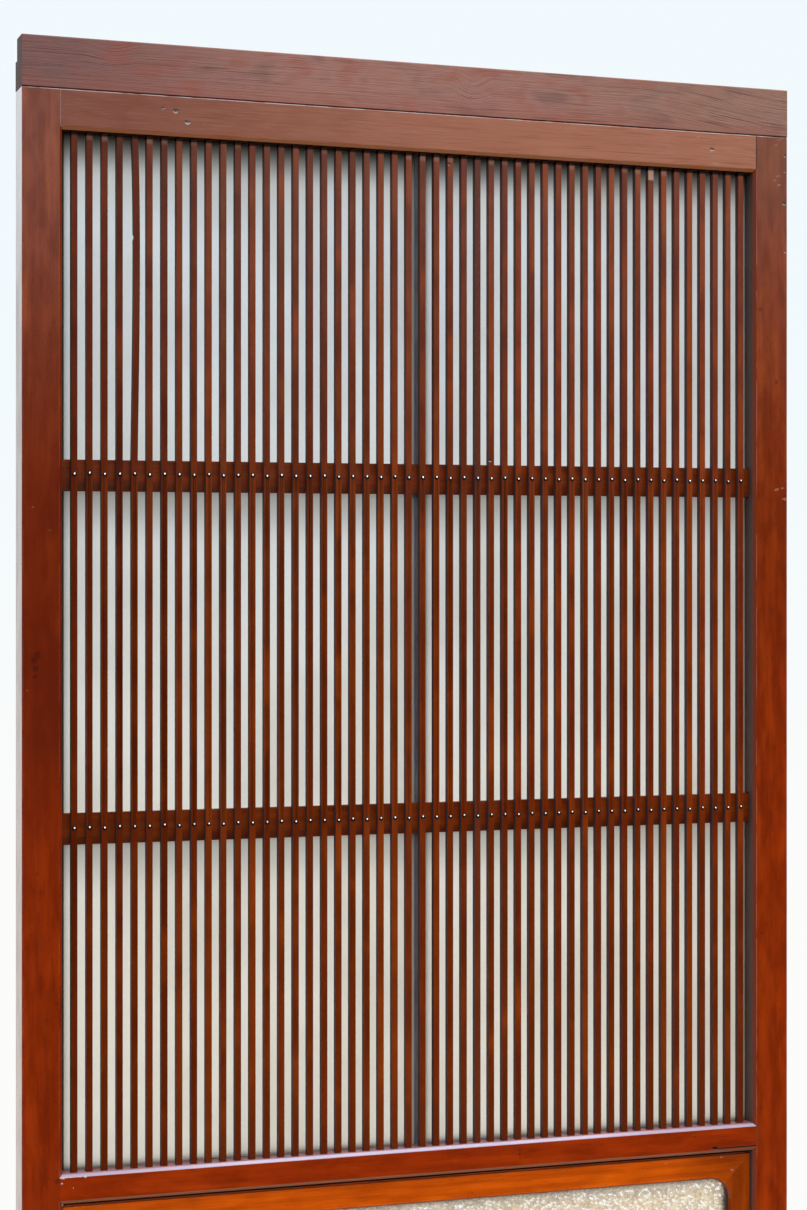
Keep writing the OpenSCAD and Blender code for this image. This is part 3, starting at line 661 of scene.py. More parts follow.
# The down-facing chamfer, painted without that sheen.
TOP_CHAMFER_UNSHEENED = (0.46, 0.12, 0.012)
PALER = (-0.42, 0.15)
PALE_FIBRE = (0.0013, 0.03)
DARK_FIBRE = (0.0011, 0.07)
FUZZY_END = (0.22, 0.40)
RAIL_END = 0.4009
END_LINE = (0.0016, 0.0006)
TOP_DENTS = [(-0.2907, 1.7471, 0.0017), (-0.2778, 1.7448, 0.0022), (-0.2649, 1.7340, 0.0023),
             (-0.2475, 1.7341, 0.0008), (0.3454, 1.7410, 0.0022)]
TOP_SCUFFS = [(0.3273, 1.7537, 0.0013)]


def paler_to_the_right(sheet, colour):
    across, _, _ = sheet.split(sheet.place())
    tint = sheet.mix(sheet.smooth(across, *PALER), TOP_LEFT, TOP_RIGHT)
    pale_fibre = sheet.smooth(grain(sheet, "X", *PALE_FIBRE, 13.0), 0.54, 0.72)
    dark_fibre = sheet.smooth(grain(sheet, "X", *DARK_FIBRE, 15.0), 0.52, 0.74)
    colour = sheet.mix(0.75, colour, tint)
    colour = sheet.mix(dark_fibre * 0.7, colour, TOP_RINGS)
    fuzzy = 0.14 + sheet.smooth(across, *FUZZY_END) * 0.36
    colour = sheet.mix(pale_fibre * fuzzy, colour, TOP_PALE)
    left_line = sheet.smooth(across, *(reach - RAIL_END for reach in END_LINE))
    right_line = sheet.smooth(across, *(RAIL_END - reach for reach in END_LINE))
    # Painted highlight at the rail's left end, dark joint line at its right end.
    colour = sheet.mix(left_line * 0.25, colour, JOINT_HIGHLIGHT)
    return painted_joint_highlight(sheet, sheet.mix(right_line * 0.8, colour, DARK_MARK_AND_SHADE))


dress(["top_rail"], lacquer("top_rail_lacquer", "X", TOP_RIGHT, TOP_RIGHT, TOP_RINGS, 11.0, rough=0.24,
                            patchy=0.3, worn=0.35, under=TOP_CHAMFER_UNSHEENED, dents=TOP_DENTS,
                            scuffs=TOP_SCUFFS, shade=paler_to_the_right))
print("top rail lacquered, dents:", len(TOP_DENTS))

# %% Lacquer on the sill and the bottom rail
SILL_TONE = (0.365, 0.031, 0.0006)
SILL_RINGS = (0.22, 0.017, 0.0008)
SILL_UNDER = (0.27, 0.11, 0.05)
SILL_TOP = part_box("sill_rail")[1].z
# Pale lavender on the sill's top: painted reflection of the sky.
SILL_TOP_REFLECTION = (SILL_TOP - 0.008, (0.60, 0.51, 0.62))
SILL_CHIPS = [(-0.3972, 0.6325, 0.0017), (-0.3940, 0.6328, 0.0010), (-0.3890, 0.6330, 0.0009),
              (-0.3800, 0.6328, 0.0008), (-0.3740, 0.6322, 0.0012), (-0.3865, 0.6215, 0.0007),
              (-0.3980, 0.6270, 0.0009)]
SILL_STAINS = [(0.1112, 0.6257, 0.0018), (0.1112, 0.6210, 0.0018), (0.1112, 0.6169, 0.0015),
               (0.3235, 0.6254, 0.0018)]
SPLIT_FROM = 0.3459
SPLIT_LOW = 0.6099
SPLIT_HIGH = 0.6110
SPLIT_FADE = 0.0004
NOTCH_END = SPLIT_FROM + 0.0055
NOTCH_HIGH = SPLIT_LOW + 0.0030
NOTCH_FADE = 0.0005


# Painted shadow in the split and its notch.
def shaded_split(sheet, colour):
    across, _, height = sheet.split(sheet.place())
    line = sheet.smooth(height, SPLIT_HIGH + SPLIT_FADE, SPLIT_HIGH)
    notch = sheet.smooth(height, NOTCH_HIGH + SPLIT_FADE, NOTCH_HIGH)
    notch = notch * sheet.smooth(across, NOTCH_END + NOTCH_FADE, NOTCH_END)
    inside = sheet.smooth(across, SPLIT_FROM - SPLIT_FADE, SPLIT_FROM)
    inside = inside * sheet.smooth(height, SPLIT_LOW - SPLIT_FADE, SPLIT_LOW)
    return sheet.mix(line.or_more(notch) * inside * on_front(sheet) * 0.85, colour, DARK_MARK_AND_SHADE)


dress(["sill_rail", "bottom_rail"], lacquer("low_rail_lacquer", "X", SILL_TONE, SILL_TONE, SILL_RINGS, 17.0,
                                            rough=0.10, sheen=0.9, streak=0.45, under=SILL_UNDER,
                                            painted_light=SILL_TOP_REFLECTION, chips=SILL_CHIPS, stains=SILL_STAINS,
                                            shade=shaded_split))
print("sill lacquered, chips:", len(SILL_CHIPS))

# %% [markdown]
# ## Weathered head
# The piece on top lengthened the old leaf. It was never polished, so its grain stands up in fine
# ridges and its lacquer has gone grey and thin, in patches, with pale streaks towards the right.
# Colour by place across the piece gives the slow change from its dark left end, and strokes of grain
# give patches and ridges. The grain leans downward at the right end, bulges round a knot and dips near
# the left end: the place that the noise is read at is bent there.

# %% Weathered wood
HEAD_LEFT = (0.255, 0.100, 0.083)
HEAD_MID = (0.415, 0.183, 0.135)
HEAD_RIGHT = (0.372, 0.176, 0.120)
HEAD_GREY = (0.19, 0.088, 0.076)
HEAD_RED = (0.36, 0.085, 0.050)
HEAD_PALE = (0.50, 0.31, 0.21)
HEAD_COLD = (0.150, 0.100, 0.100)
HEAD_END = (0.058, 0.042, 0.044)
HEAD_GROOVE = (0.085, 0.034, 0.028)
MID_FROM = (-0.42, -0.1)
RIGHT_FROM = (0.1, 0.35)
LESS_RED = (0.1, 0.4)
COLD_END = (-0.34, -0.43)
PALE_END = (0.15, 0.4)
CARVED_END = (0.22, 0.4)
LEAN_FROM = (0.24, 0.46)
END_LEAN = 0.022
KNOT = (0.0559, cad_low.y, 1.7908)
KNOT_REACH = 0.028
KNOT_BULGE = 0.010
DIP = (-0.345, cad_low.y, 1.8060)
DIP_REACH = 0.034
DIP_DEPTH = 0.006
RIDGE = (0.0018, 0.10)
HEAD_FIBRE = (0.0009, 0.03)
HEAD_PATCH = (0.024, 0.050)
HEAD_CARVED = (0.02, 0.12)
HEAD_STREAK = (0.0013, 0.05)
FOOT_RED = (0.024, 0.002)
FOOT_LINE = (0.0014, 0.0006)
RIDGE_H = 0.0005


def weathered(name, seed):
    material, sheet, shader = new_finish(name)
    across, _, height = sheet.split(sheet.place())
    knot = sheet.smooth(sheet.vector("DISTANCE", sheet.place(), KNOT, "Value"), KNOT_REACH, 0.0)
    dip = sheet.smooth(sheet.vector("DISTANCE", sheet.place(), DIP, "Value"), DIP_REACH, 0.0)
    lift = sheet.smooth(across, *LEAN_FROM) * END_LEAN + knot * KNOT_BULGE + dip * DIP_DEPTH
    bent = sheet.vector("ADD", sheet.place(), sheet.add("CombineXYZ", inputs={"Z": lift}))
    ridge = grain(sheet, "X", *RIDGE, seed, wave=0.8, place=bent)
    fibre = grain(sheet, "X", *HEAD_FIBRE, seed + 2, place=bent)
    patch = grain(sheet, "X", *HEAD_PATCH, seed + 4, detail=2.0)
    carved = 0.2 + sheet.smooth(grain(sheet, "X", *HEAD_CARVED, seed + 6), 0.42, 0.62) * 0.45
    carved = (carved + sheet.smooth(across, *CARVED_END) * 0.5).or_more(knot).or_more(dip)
    streak = sheet.smooth(grain(sheet, "X", *HEAD_STREAK, seed + 8, place=bent), 0.52, 0.68)
    colour = sheet.mix(sheet.smooth(across, *MID_FROM), HEAD_LEFT, HEAD_MID)
    colour = sheet.mix(sheet.smooth(across, *RIGHT_FROM), colour, HEAD_RIGHT)
    red_share = 0.5 - sheet.smooth(across, *LESS_RED) * 0.35
    colour = sheet.mix(sheet.smooth(patch, 0.50, 0.68) * red_share, colour, HEAD_RED)
    colour = sheet.mix(sheet.smooth(patch, 0.50, 0.26) * 0.55, colour, HEAD_GREY)
    red_foot = sheet.smooth(height, *(JOINT + reach for reach in FOOT_RED))
    colour = sheet.mix(red_foot * 0.35, colour, HEAD_RED)
    cold = sheet.smooth(across, *COLD_END) * sheet.smooth(patch, 0.40, 0.62) * 0.6
    colour = sheet.mix(cold, colour, HEAD_COLD)
    pale_share = 0.12 + sheet.smooth(across, *PALE_END) * 0.3
    colour = sheet.mix(streak * pale_share, colour, HEAD_PALE)
    colour = sheet.mix(sheet.smooth(ridge, 0.56, 0.68) * carved, colour, HEAD_GROOVE)
    colour = sheet.mix(sheet.smooth(fibre, 0.52, 0.75) * 0.3, colour, HEAD_GREY)
    dark_foot = sheet.smooth(height, *(JOINT + reach for reach in FOOT_LINE))
    colour = sheet.mix(dark_foot * 0.9, colour, DARK_MARK_AND_SHADE)
    turn, _ = turned(sheet)
    ends = sheet.smooth(abs(turn), *SIDE_TURN)
    sheet.feed(shader.inputs["Base Color"], sheet.mix(ends * 0.85, colour, HEAD_END))
    sheet.feed(shader.inputs["Roughness"], 0.42 + fibre * 0.2 + ends * 0.35)
    sheet.feed(shader.inputs["Normal"], sheet.bump(fibre * 0.4 - ridge, RIDGE_H))
    shader.inputs["Specular IOR Level"].default_value = 0.35
    return material


dress(HEAD, weathered("weathered_head", 23.0))
print("head weathered, its knot at", KNOT[0], "m across")

# %% [markdown]
# ## Slats and battens
# Each slat was sawn from another board, so each has its own tone. One material serves all of them:
# the slat's number comes from its place across the door, a white noise of that number picks the tone,
# and a noise of number and height lets it change along the slat. Towards the left stile the slats get
# darker and duller, and to the right warmer. A few differ in kind: one is rough and dark, one has a
# worn pale top. Most have a pale tip, and above it, in the rail's corner, a painted shadow.

# %% Lattice lacquer
SLAT_PITCH = 0.016
SLAT_LOW = (0.193, 0.0245, 0.0014)
SLAT_HIGH = (0.21, 0.041, 0.009)
SLAT_RINGS = (0.115, 0.015, 0.0014)
SLAT_GLOW = (0.36, 0.056, 0.004)
# The slats' flanks: painted shade with a painted cool reflection.
FLANK_SHADE_AND_REFLECTION = (0.092, 0.052, 0.056)
LEFT_DARK = (0.62, 0.55, 0.75)
LEFT_DARKENS = (-0.20, -0.37)
RIGHT_WARM = (1.28, 1.14, 0.85)
RIGHT_WARMS = (-0.05, 0.15)
WARM_FROM = (0.80, 1.10)
MOTTLE_STEP = 3.7
MOTTLE_RISE = 11.0
FOOT_FROM = 0.73
TIP_FROM = 1.7106
TIP_RAGGED = 0.003
CORNER_SHADOW_FROM = 1.7130
ROUGH_SLAT = 4
ROUGH_TONE = (0.105, 0.026, 0.013)
ROUGH_PALE = (0.40, 0.19, 0.17)
ROUGH_FROM = (1.352, 1.356)
SPLINTER = (0.0009, 0.004)
WORN_SLAT = 17
WORN_TONE = (0.62, 0.36, 0.26)
WORN_FROM = (1.702, 1.704)
SLAT_DENTS = [(0.0303, 1.7073, 0.0016), (0.0775, 1.3850, 0.0020)]


def left_dull(sheet):
    across, _, _ = sheet.split(sheet.place())
    return 0.6 * sheet.smooth(across, *LEFT_DARKENS)


def slat_by_slat(sheet, colour):
    across, _, height = sheet.split(sheet.place())
    number = (across / SLAT_PITCH).rounded()
    tone = sheet.add("TexWhiteNoise", {"noise_dimensions": "1D"}, {"W": number})
    tip = sheet.add("TexWhiteNoise", {"noise_dimensions": "1D"}, {"W": number + 0.5})
    along = sheet.add("CombineXYZ", inputs={"X": number * MOTTLE_STEP, "Z": height * MOTTLE_RISE})
    mottle = sheet.add("TexNoise", inputs={"Vector": along, "Scale": 1.0, "Detail": 3.0})
    right_warm = sheet.smooth(across, *RIGHT_WARMS) * sheet.smooth(height, *WARM_FROM)
    colour = sheet.mix(right_warm, colour, RIGHT_WARM, "MULTIPLY")
    colour = sheet.mix(sheet.smooth(tone, 0.5, 1.0) * 0.45, colour, SLAT_RINGS)
    colour = sheet.mix(sheet.smooth(tone, 0.35, 0.0) * 0.3, colour, SLAT_GLOW)
    colour = sheet.mix(sheet.smooth(mottle, 0.50, 0.68) * 0.5, colour, SLAT_RINGS)
    colour = sheet.mix(sheet.smooth(mottle, 0.46, 0.30) * 0.5, colour, SLAT_GLOW)
    colour = sheet.mix(sheet.smooth(across, *LEFT_DARKENS), colour, LEFT_DARK, "MULTIPLY")
    colour = sheet.mix(sheet.smooth(height, FOOT_FROM, SILL_TOP) * 0.65, colour, SLAT_RINGS)
    pale_tip = sheet.smooth(height + tip * TIP_RAGGED, TIP_FROM, TIP_FROM + TIP_RAGGED)
    colour = sheet.mix(pale_tip * sheet.smooth(tip, 0.45, 1.0) * 0.22, colour, WORN_TONE)
    rough = number.is_about(ROUGH_SLAT, 0.5)
    in_top_bay = sheet.smooth(height, *ROUGH_FROM)
    colour = sheet.mix(rough * (0.5 + in_top_bay * 0.3), colour, ROUGH_TONE)
    splinter = sheet.smooth(grain(sheet, "X", *SPLINTER, 33.0), 0.60, 0.70)
    colour = sheet.mix(rough * in_top_bay * splinter * 0.5, colour, ROUGH_PALE)
    worn = number.is_about(WORN_SLAT, 0.5) * sheet.smooth(height, *WORN_FROM)
    return sheet.mix(worn * 0.8, colour, WORN_TONE)


dress(SLATS, lacquer("slat_lacquer", "Z", SLAT_LOW, SLAT_HIGH, SLAT_RINGS, 31.0, rough=0.16, sheen=0.62,
                     bare=2, flank_tone=FLANK_SHADE_AND_REFLECTION, shadow_from=CORNER_SHADOW_FROM, face=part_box("left_slats")[0].y,
                     dents=SLAT_DENTS, shade=slat_by_slat, dull=left_dull))
print("slats lacquered, the rough one is number", ROUGH_SLAT)

# %% [markdown]
# The battens behind the slats take the same lacquer with the grain across. Their lower edges lie in
# shade and gather dirt, which a dark foot by height shows more surely than the light alone.

# %% Battens with a dark foot
BATTEN_TONE = (0.30, 0.044, 0.0040)
BATTEN_FOOT = (0.016, 0.002)
BATTEN_BELOW = (-0.002, -0.001)


def dark_foot(sheet, colour):
    _, _, height = sheet.split(sheet.place())
    for low in (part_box(name)[0].z for name in BATTENS):
        foot = sheet.smooth(height, *(low + reach for reach in BATTEN_FOOT))
        foot = foot * sheet.smooth(height, *(low + reach for reach in BATTEN_BELOW))
        colour = sheet.mix(foot * 0.5, colour, DARK_MARK_AND_SHADE)
    return colour


dress(BATTENS, lacquer("batten_lacquer", "X", BATTEN_TONE, BATTEN_TONE, SLAT_RINGS, 37.0, rough=0.22,
                       sheen=0.6, shade=dark_foot))
print("battens lacquered:", len(BATTENS))

# %% [markdown]
# ## Sash
# The sash lifts out for the winter and was lacquered apart from the frame, in a brighter orange. Each
# member has its grain along its own length, so the mitres show. Round the window its edge is darkened
# by painted shade, and so is the right corner. The edge under the sill has a painted shadow too. The
# beads on the back have a thin dark lacquer, and the bar between the frosted panes is grey.

# %% Lacquer on the sash and the beads
SASH_TONE = (0.78, 0.112, 0.0008)
SASH_RINGS = (0.36, 0.040, 0.0010)
SIDE_TONE = (0.67, 0.097, 0.0009)
SIDE_RINGS = (0.35, 0.042, 0.0010)
SASH_EDGE_SHADE = (0.16, 0.022, 0.003)
SASH_CORNER_SHADE = (0.52, 0.50, 0.60)
SASH_DARKENS = (0.29, 0.375)
SASH_SHADOW_FROM = 0.6000
SASH_SCUFFS = [(0.3612, 0.5982, 0.0012), (0.3738, 0.5828, 0.0013), (0.2914, 0.5962, 0.0010)]
BEAD_TONE = (0.15, 0.040, 0.012)
BEAD_RINGS = (0.08, 0.020, 0.007)
BAR_TONE = (0.27, 0.265, 0.29)
BAR_RINGS = (0.14, 0.14, 0.155)


# Painted shade: darker towards the right corner and on the edges that turn sideways or down.
def shaded_window_edge(sheet, colour):
    across, _, _ = sheet.split(sheet.place())
    colour = sheet.mix(sheet.smooth(across, *SASH_DARKENS) * 0.9, colour, SASH_CORNER_SHADE, "MULTIPLY")
    to_right, up = turned(sheet)
    slant = abs(to_right).or_more(-1 * up)
    return sheet.mix(sheet.smooth(slant, 0.3, 0.6) * 0.7, colour, SASH_EDGE_SHADE)


dress(SASH_LEVEL, lacquer("sash_level_lacquer", "X", SASH_TONE, SASH_TONE, SASH_RINGS, 41.0, rough=0.10,
                          sheen=0.9, streak=0.45, patchy=0.3, shadow_from=SASH_SHADOW_FROM, scuffs=SASH_SCUFFS,
                          face=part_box("sash_top")[0].y, shade=shaded_window_edge))
dress(SASH_UPRIGHT, lacquer("sash_upright_lacquer", "Z", SIDE_TONE, SIDE_TONE, SIDE_RINGS, 43.0, rough=0.10,
                            sheen=0.9, streak=0.45, patchy=0.3, shadow_from=SASH_SHADOW_FROM, shade=shaded_window_edge))
level_beads = [name for name in nodes if name.endswith(("top_bead", "bottom_bead"))]
upright_beads = [name for name in nodes if name.endswith("bead") and name not in level_beads]
dress(level_beads, lacquer("level_bead_wood", "X", BEAD_TONE, BEAD_TONE, BEAD_RINGS, 47.0, rough=0.4))
dress(upright_beads, lacquer("upright_bead_wood", "Z", BEAD_TONE, BEAD_TONE, BEAD_RINGS, 53.0, rough=0.4))
dress(["glazing_bar"], lacquer("grey_bar_wood", "Z", BAR_TONE, BAR_TONE, BAR_RINGS, 57.0, rough=0.4,
                               sheen=0.4))
print("beads", len(level_beads) + len(upright_beads))

# %% [markdown]
# ## Frosted panes
# Ground glass scatters light: it glows where light falls on it from either side, and shows nothing
# sharp. Full glass with a very rough face would be the true model, but it is slow and noisy. A pale
# body mixed with a translucent one gives the same glow at once. The grinding is a fine speckle, with
# faint darker clouds. Painted shade darkens the glass under the top rail and below each batten, and
# fades out downward; a painted shadow line runs along the left stile, and the glass is darker just
# above the sill and a little towards the right. The battens are nailed on a little out of level, so
# the bands below them tilt as they do. The glass is painted cooler at the top and warmer below, for
# the light that falls on it. Each layer is a share and a plain colour, and is laid on both bodies alike.

# %% Ground glass
# Cool at the top and warm below: painted light.
FROST_HIGH = (0.82, 0.85, 0.875)
FROST_LOW = (0.91, 0.88, 0.825)
FROST_COOLS = (0.7, 1.65)
FROST_SPECK = 2600.0
FROST_CLOUD = 7.0
FROST_ROUGH = 0.5
SPECK_H = 0.00006
GRIME_AND_SHADE = (0.50, 0.46, 0.41)
DEEP_SHADE = (0.05, 0.05, 0.05)
SILL_DARKENS = (0.014, 0.002)
RAIL_FOOT = 1.718
RAIL_HAZE = 0.10
RAIL_SHADOW = (0.10, 0.09, 0.07)
RAIL_SHADOW_SPAN = (-0.045, 0.012)
BATTEN_SHADOW = (0.48, 0.465, 0.44)
BATTEN_SHADOW_SPAN = (-0.060, 0.012)
BATTEN_DEEP_SHADE = (-0.006, 0.0)
BATTEN_EDGE = (0.002, 0.001)
BATTEN_SLOPES = {"upper_batten": 0.0055, "lower_batten": 0.0028}
SHADOW_SHARES = {"upper_batten": 0.75, "lower_batten": 0.57}
LEFT_SHADOW_LINE = (-0.3914, -0.3922)
RIGHT_DARKENS = (0.18, 0.38)
GLOW_SHARE = 0.85
BY_BAR = (0.012, 0.008)


def layered(sheet, first, layers):
    """The same layers of (share, colour) twice: as a body's colour, and as light that comes through."""
    tone = first
    glow = sheet.add("BsdfTranslucent", inputs={"Color": first})
    for share, colour in layers:
        tone = sheet.mix(share, tone, colour)
        lit = sheet.add("BsdfTranslucent", inputs={"Color": colour})
        glow = sheet.add("MixShader", inputs={0: share, 1: glow, 2: lit})
    return tone, glow


def ground_glass(name):
    material, sheet, shader = new_finish(name)
    speck = sheet.mottle(FROST_SPECK, 2.0)
    cloud = sheet.mottle(FROST_CLOUD, 3.0)
    across, _, height = sheet.split(sheet.place())
    by_sill = sheet.smooth(height + cloud * 0.01, *(SILL_TOP + reach for reach in SILL_DARKENS))
    rail_shadow = sheet.smooth(height, *(RAIL_FOOT + reach for reach in RAIL_SHADOW_SPAN))
    layers = [(sheet.smooth(height, *FROST_COOLS), FROST_HIGH),
              (sheet.smooth(cloud, 0.35, 0.7) * 0.16 + speck * 0.06, GRIME_AND_SHADE),
              (by_sill * 0.5, GRIME_AND_SHADE),
              # Painted shade under the top rail: a broad haze and a darker band.
              (sheet.smooth(height, RAIL_FOOT - RAIL_HAZE, RAIL_FOOT) * 0.3, GRIME_AND_SHADE),
              (rail_shadow * 0.95, RAIL_SHADOW)]
    # Painted shadows below each batten, tilted as the batten is.
    for batten, slope in BATTEN_SLOPES.items():
        left_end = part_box(batten)[0]
        level = height - (across - left_end.x) * slope - left_end.z
        below = sheet.smooth(level, *BATTEN_EDGE)
        layers.append((sheet.smooth(level, *BATTEN_SHADOW_SPAN) * below * SHADOW_SHARES[batten], BATTEN_SHADOW))
        layers.append((sheet.smooth(level, *BATTEN_DEEP_SHADE) * below * 0.15, DEEP_SHADE))
    # Painted shadow line along the left stile.
    layers.append((sheet.smooth(across, *LEFT_SHADOW_LINE) * 0.97, DEEP_SHADE))
    layers.append((sheet.smooth(across, *RIGHT_DARKENS) * 0.12, GRIME_AND_SHADE))
    tone, glow = layered(sheet, FROST_LOW, layers)
    sheet.feed(shader.inputs["Base Color"], tone)
    sheet.feed(shader.inputs["Normal"], sheet.bump(speck, SPECK_H))
    shader.inputs["Roughness"].default_value = FROST_ROUGH
    share = GLOW_SHARE - sheet.smooth(abs(across), *BY_BAR) * 0.65
    sheet.show(sheet.add("MixShader", inputs={0: share, 1: Wire(sheet, shader.outputs[0]), 2: glow}))
    return material


dress(["left_pane", "right_pane"], ground_glass("ground_glass"))
# The bands below the battens are painted shade.
print("frosted panes start", round(SILL_TOP, 3), "m up, dust below", len(BATTEN_SLOPES), "battens")

# %% [markdown]
# ## Figured pane
# The lower pane is rolled glass with a pebbled face: thousands of small domes a few millimetres
# apart that sparkle against the light. Bump alone would leave a flat edge and a dead outline, so the
# front face is a fine grid whose points follow the nearest pebble's dome, and a bump adds the small
# wrinkles between them. The back stays flat. The piece stands for the plain sheet of the CAD model.

# %% Pebbled grid
PEBBLE = 0.0055
PEBBLE_SLICE = 0.37
GRID_STEP = 0.0019
DOME_H = 0.0007
DOME_STEEP = 1.25
SEAM_WIDE = 0.35
SEAM_DEEP = 0.35

pane_low, pane_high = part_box("figured_pane")
columns = int((pane_high.x - pane_low.x) / GRID_STEP)
rows = int((pane_high.z - pane_low.z) / GRID_STEP)
across_step = (pane_high.x - pane_low.x) / columns
up_step = (pane_high.z - pane_low.z) / rows


def pebble_depth(x, z):
    """How far the glass lies behind the domes' tops here."""
    nearest, following = noise.voronoi(Vector((x / PEBBLE, PEBBLE_SLICE, z / PEBBLE)))[0][:2]
    seam = max(0.0, SEAM_WIDE - (following - nearest))
    return DOME_H * min(1.0, DOME_STEEP * nearest * nearest + SEAM_DEEP * seam)


points = []
for row in range(rows + 1):
    z = pane_low.z + row * up_step
    for column in range(columns + 1):
        x = pane_low.x + column * across_step
        points.append((x, pane_low.y + pebble_depth(x, z), z))
wide = columns + 1
corners = [row * wide + column for row in range(rows) for column in range(columns)]
faces = [(corner, corner + 1, corner + wide + 1, corner + wide) for corner in corners]
print("pebbled grid", columns, "by", rows)

# %% [markdown]
# The grid is closed with a rim and a flat back, so that the pane is a solid sheet that bends light as
# glass does. The rim walks once round the grid's border.

# %% Close the pane
border = list(range(wide))
border += [row * wide + columns for row in range(1, rows + 1)]
border += [rows * wide + column for column in range(columns - 1, -1, -1)]
border += [row * wide for row in range(rows - 1, 0, -1)]
first_back = len(points)
points += [(points[index][0], pane_high.y, points[index][2]) for index in border]
for place, index in enumerate(border):
    after = (place + 1) % len(border)
    faces.append((border[after], index, first_back + place, first_back + after))
faces.append(tuple(range(first_back + len(border) - 1, first_back - 1, -1)))
sheet_mesh = bpy.data.meshes.new("pebbled_pane")
sheet_mesh.from_pydata(points, [], faces)
smooth_front = [index < rows * columns for index in range(len(faces))]
sheet_mesh.polygons.foreach_set("use_smooth", smooth_front)
pebbled_pane = bpy.data.objects.new("pebbled_pane", sheet_mesh)
scene.collection.objects.link(pebbled_pane)
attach(pebbled_pane, "leaf")
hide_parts("figured_pane")
print("pebbled pane", len(faces), "faces")

# %% [markdown]
# The glass is cream, darker in the valleys between its pebbles, and darkened by painted shade along
# the window's right side. Small spots are clear and show what lies behind. Plain clear glass would lose
# its body against a white background, so a cream body and a translucent one are mixed, and only the
# spots let rays straight through.

# %% Rolled glass
CREAM = (0.94, 0.83, 0.68)
SHADOW = (0.67, 0.57, 0.45)
EDGE_SHADE = (0.07, 0.06, 0.065)
FIGURE_SHARE = 0.6
WRINKLE_FINE = 300.0
HAZE_FINE = 60.0
WRINKLE_H = 0.0018
WINDOW_SIDE = 0.3703
SIDE_SHADE = (0.0065, 0.0025)
SIDE_RAGGED = 0.010
WINDOW_TOP = 0.574
TOP_SHADE = (0.020, 0.003)
SPOT = 0.0042
SPOT_SHAPE = (0.8, 1.15)
SPOT_RAGGED = 0.002
SPOTS_UP_TO = (0.003, 0.007)
ROLLED_ROUGH = 0.12


def clear_spots(sheet, wrinkle, haze):
    """A mask of flattened spots, about one in each cell of a plane pattern, left out here and there."""
    across, _, height = sheet.split(sheet.place())
    flat = {"X": across * SPOT_SHAPE[0] + (wrinkle - 0.5) * SPOT_RAGGED,
            "Y": height * SPOT_SHAPE[1] + (haze - 0.5) * SPOT_RAGGED}
    spots = sheet.add("TexVoronoi", {"voronoi_dimensions": "2D"},
                      {"Vector": sheet.add("CombineXYZ", inputs=flat), "Scale": 1 / SPOT})
    chance, _, _ = sheet.split(Wire(sheet, spots.socket.node.outputs["Color"]))
    mask = sheet.smooth(spots, 0.41, 0.35) * sheet.smooth(chance + (haze - 0.5) * 1.2, 0.15, 0.35)
    return mask * sheet.smooth(height, *(WINDOW_TOP - reach for reach in SPOTS_UP_TO))


def rolled_glass(name):
    material, sheet, shader = new_finish(name)
    across, _, height = sheet.split(sheet.place())
    pebbles = sheet.add("TexVoronoi", {"feature": "SMOOTH_F1"},
                        {"Vector": sheet.place(), "Scale": 1 / (FIGURE_SHARE * PEBBLE), "Smoothness": 0.2})
    wrinkle = sheet.mottle(WRINKLE_FINE, 1.0)
    haze = sheet.mottle(HAZE_FINE, 3.0)
    valley = sheet.smooth(pebbles + (haze - 0.5) * 0.8, 0.40, 0.66)
    ragged = (wrinkle - 0.5) * SIDE_RAGGED
    # Painted shade along the window's right side.
    shaded_side = sheet.smooth(across + ragged, *(WINDOW_SIDE - reach for reach in SIDE_SHADE))
    tone, glow = layered(sheet, CREAM, [(valley * 0.8, SHADOW), (shaded_side * 0.85, EDGE_SHADE)])
    sheet.feed(shader.inputs["Base Color"], tone)
    sheet.feed(shader.inputs["Normal"], sheet.bump(wrinkle - pebbles, WRINKLE_H))
    shader.inputs["Roughness"].default_value = ROLLED_ROUGH
    share = 0.88 - sheet.smooth(height, *(WINDOW_TOP - reach for reach in TOP_SHADE)) * 0.5
    body = sheet.add("MixShader", inputs={0: share, 1: Wire(sheet, shader.outputs[0]), 2: glow})
    clear = clear_spots(sheet, wrinkle, haze) * (1 - shaded_side) * 0.95
    sheet.show(sheet.add("MixShader", inputs={0: clear, 1: body, 2: sheet.add("BsdfTransparent")}))
    return material


sheet_mesh.materials.append(rolled_glass("rolled_glass"))
print("rolled glass on", pebbled_pane.name)

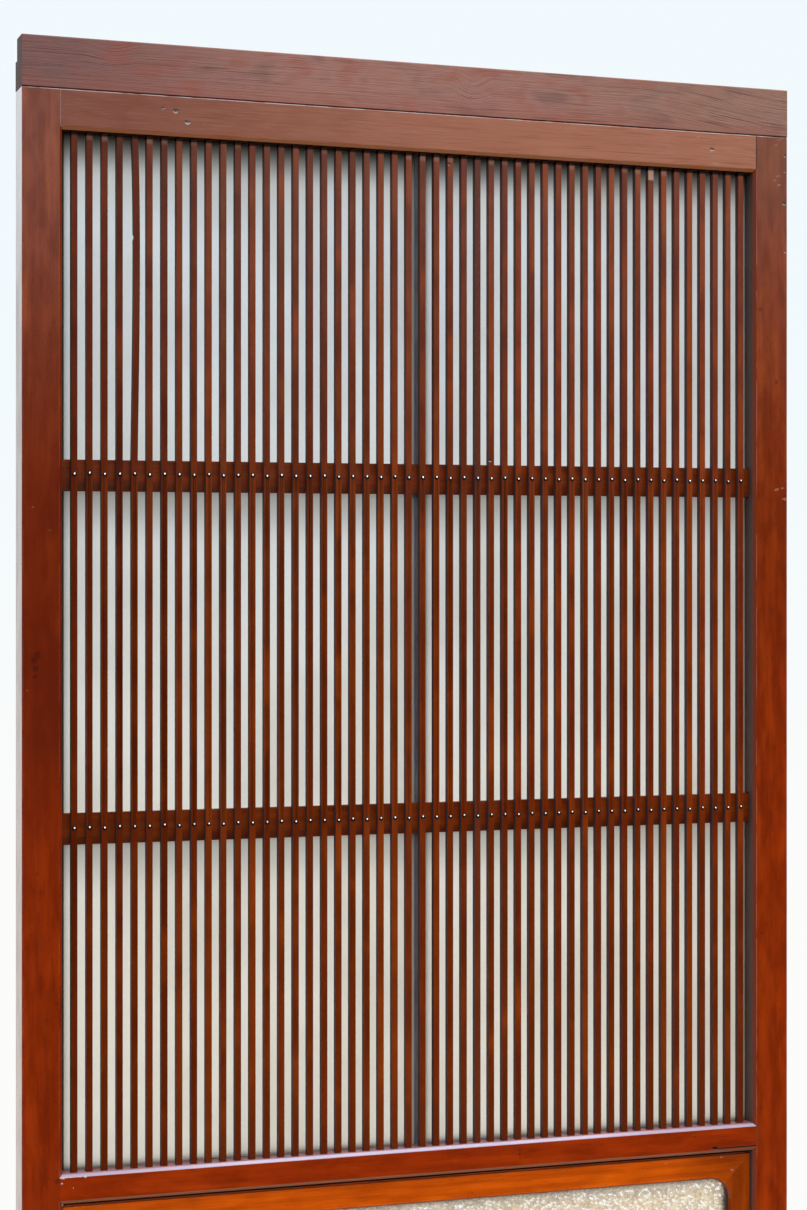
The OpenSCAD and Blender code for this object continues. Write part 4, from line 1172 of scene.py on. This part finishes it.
# %% [markdown]
# ## Metal
# The nails are nickel-plated domes, the roller cases zinc-plated sheet, the wheels turned brass. Metal
# is its reflections: a little unevenness in roughness and tone keeps it from looking like a mirror. The
# nails' rims are dark, partly dirt and partly painted shade, told by their normal, because the domes are
# too small for a mark each; the bright middle is set a little above the centre, where the highlight falls.

# %% Plated and turned metal
NICKEL = (0.95, 0.93, 0.90)
NICKEL_DULL = (0.62, 0.55, 0.46)
NAIL_RIM_DIRT_AND_SHADE = (0.02, 0.015, 0.012)
ZINC = (0.55, 0.56, 0.56)
ZINC_DULL = (0.36, 0.33, 0.30)
BRASS = (0.62, 0.44, 0.17)
BRASS_DULL = (0.30, 0.19, 0.07)
SCRATCH = (0.0004, 0.012)
SCRATCH_H = 0.00004


def metal(name, tone, dull, rough, fine, seed, rim=None):
    material, sheet, shader = new_finish(name)
    stain = sheet.mottle(fine, 4.0)
    colour = sheet.mix(sheet.smooth(stain, 0.45, 0.75), tone, dull)
    if rim is not None:
        _, depth, up = sheet.split(sheet.add("NewGeometry", out="Normal"))
        # Dark rim, partly dirt and partly painted shade, leaving the bright middle a little above the centre.
        colour = sheet.mix(sheet.smooth(up * 0.3 - depth, 1.034, 0.975), colour, rim)
    shader.inputs["Metallic"].default_value = 1.0
    sheet.feed(shader.inputs["Base Color"], colour)
    sheet.feed(shader.inputs["Roughness"], rough + sheet.smooth(stain, 0.4, 0.8) * 0.25)
    sheet.feed(shader.inputs["Normal"], sheet.bump(grain(sheet, "X", *SCRATCH, seed), SCRATCH_H))
    return material


dress(["upper_nails", "lower_nails"],
      metal("nickel_plate", NICKEL, NICKEL_DULL, 0.10, 300.0, 61.0, rim=NAIL_RIM_DIRT_AND_SHADE))
dress(["left_roller_case", "right_roller_case", "left_axle", "right_axle", "roller_screws"],
      metal("zinc_plate", ZINC, ZINC_DULL, 0.35, 120.0, 67.0))
dress(["left_wheel", "right_wheel"], metal("turned_brass", BRASS, BRASS_DULL, 0.30, 150.0, 71.0))
print("metal on the nails and rollers")

# %% [markdown]
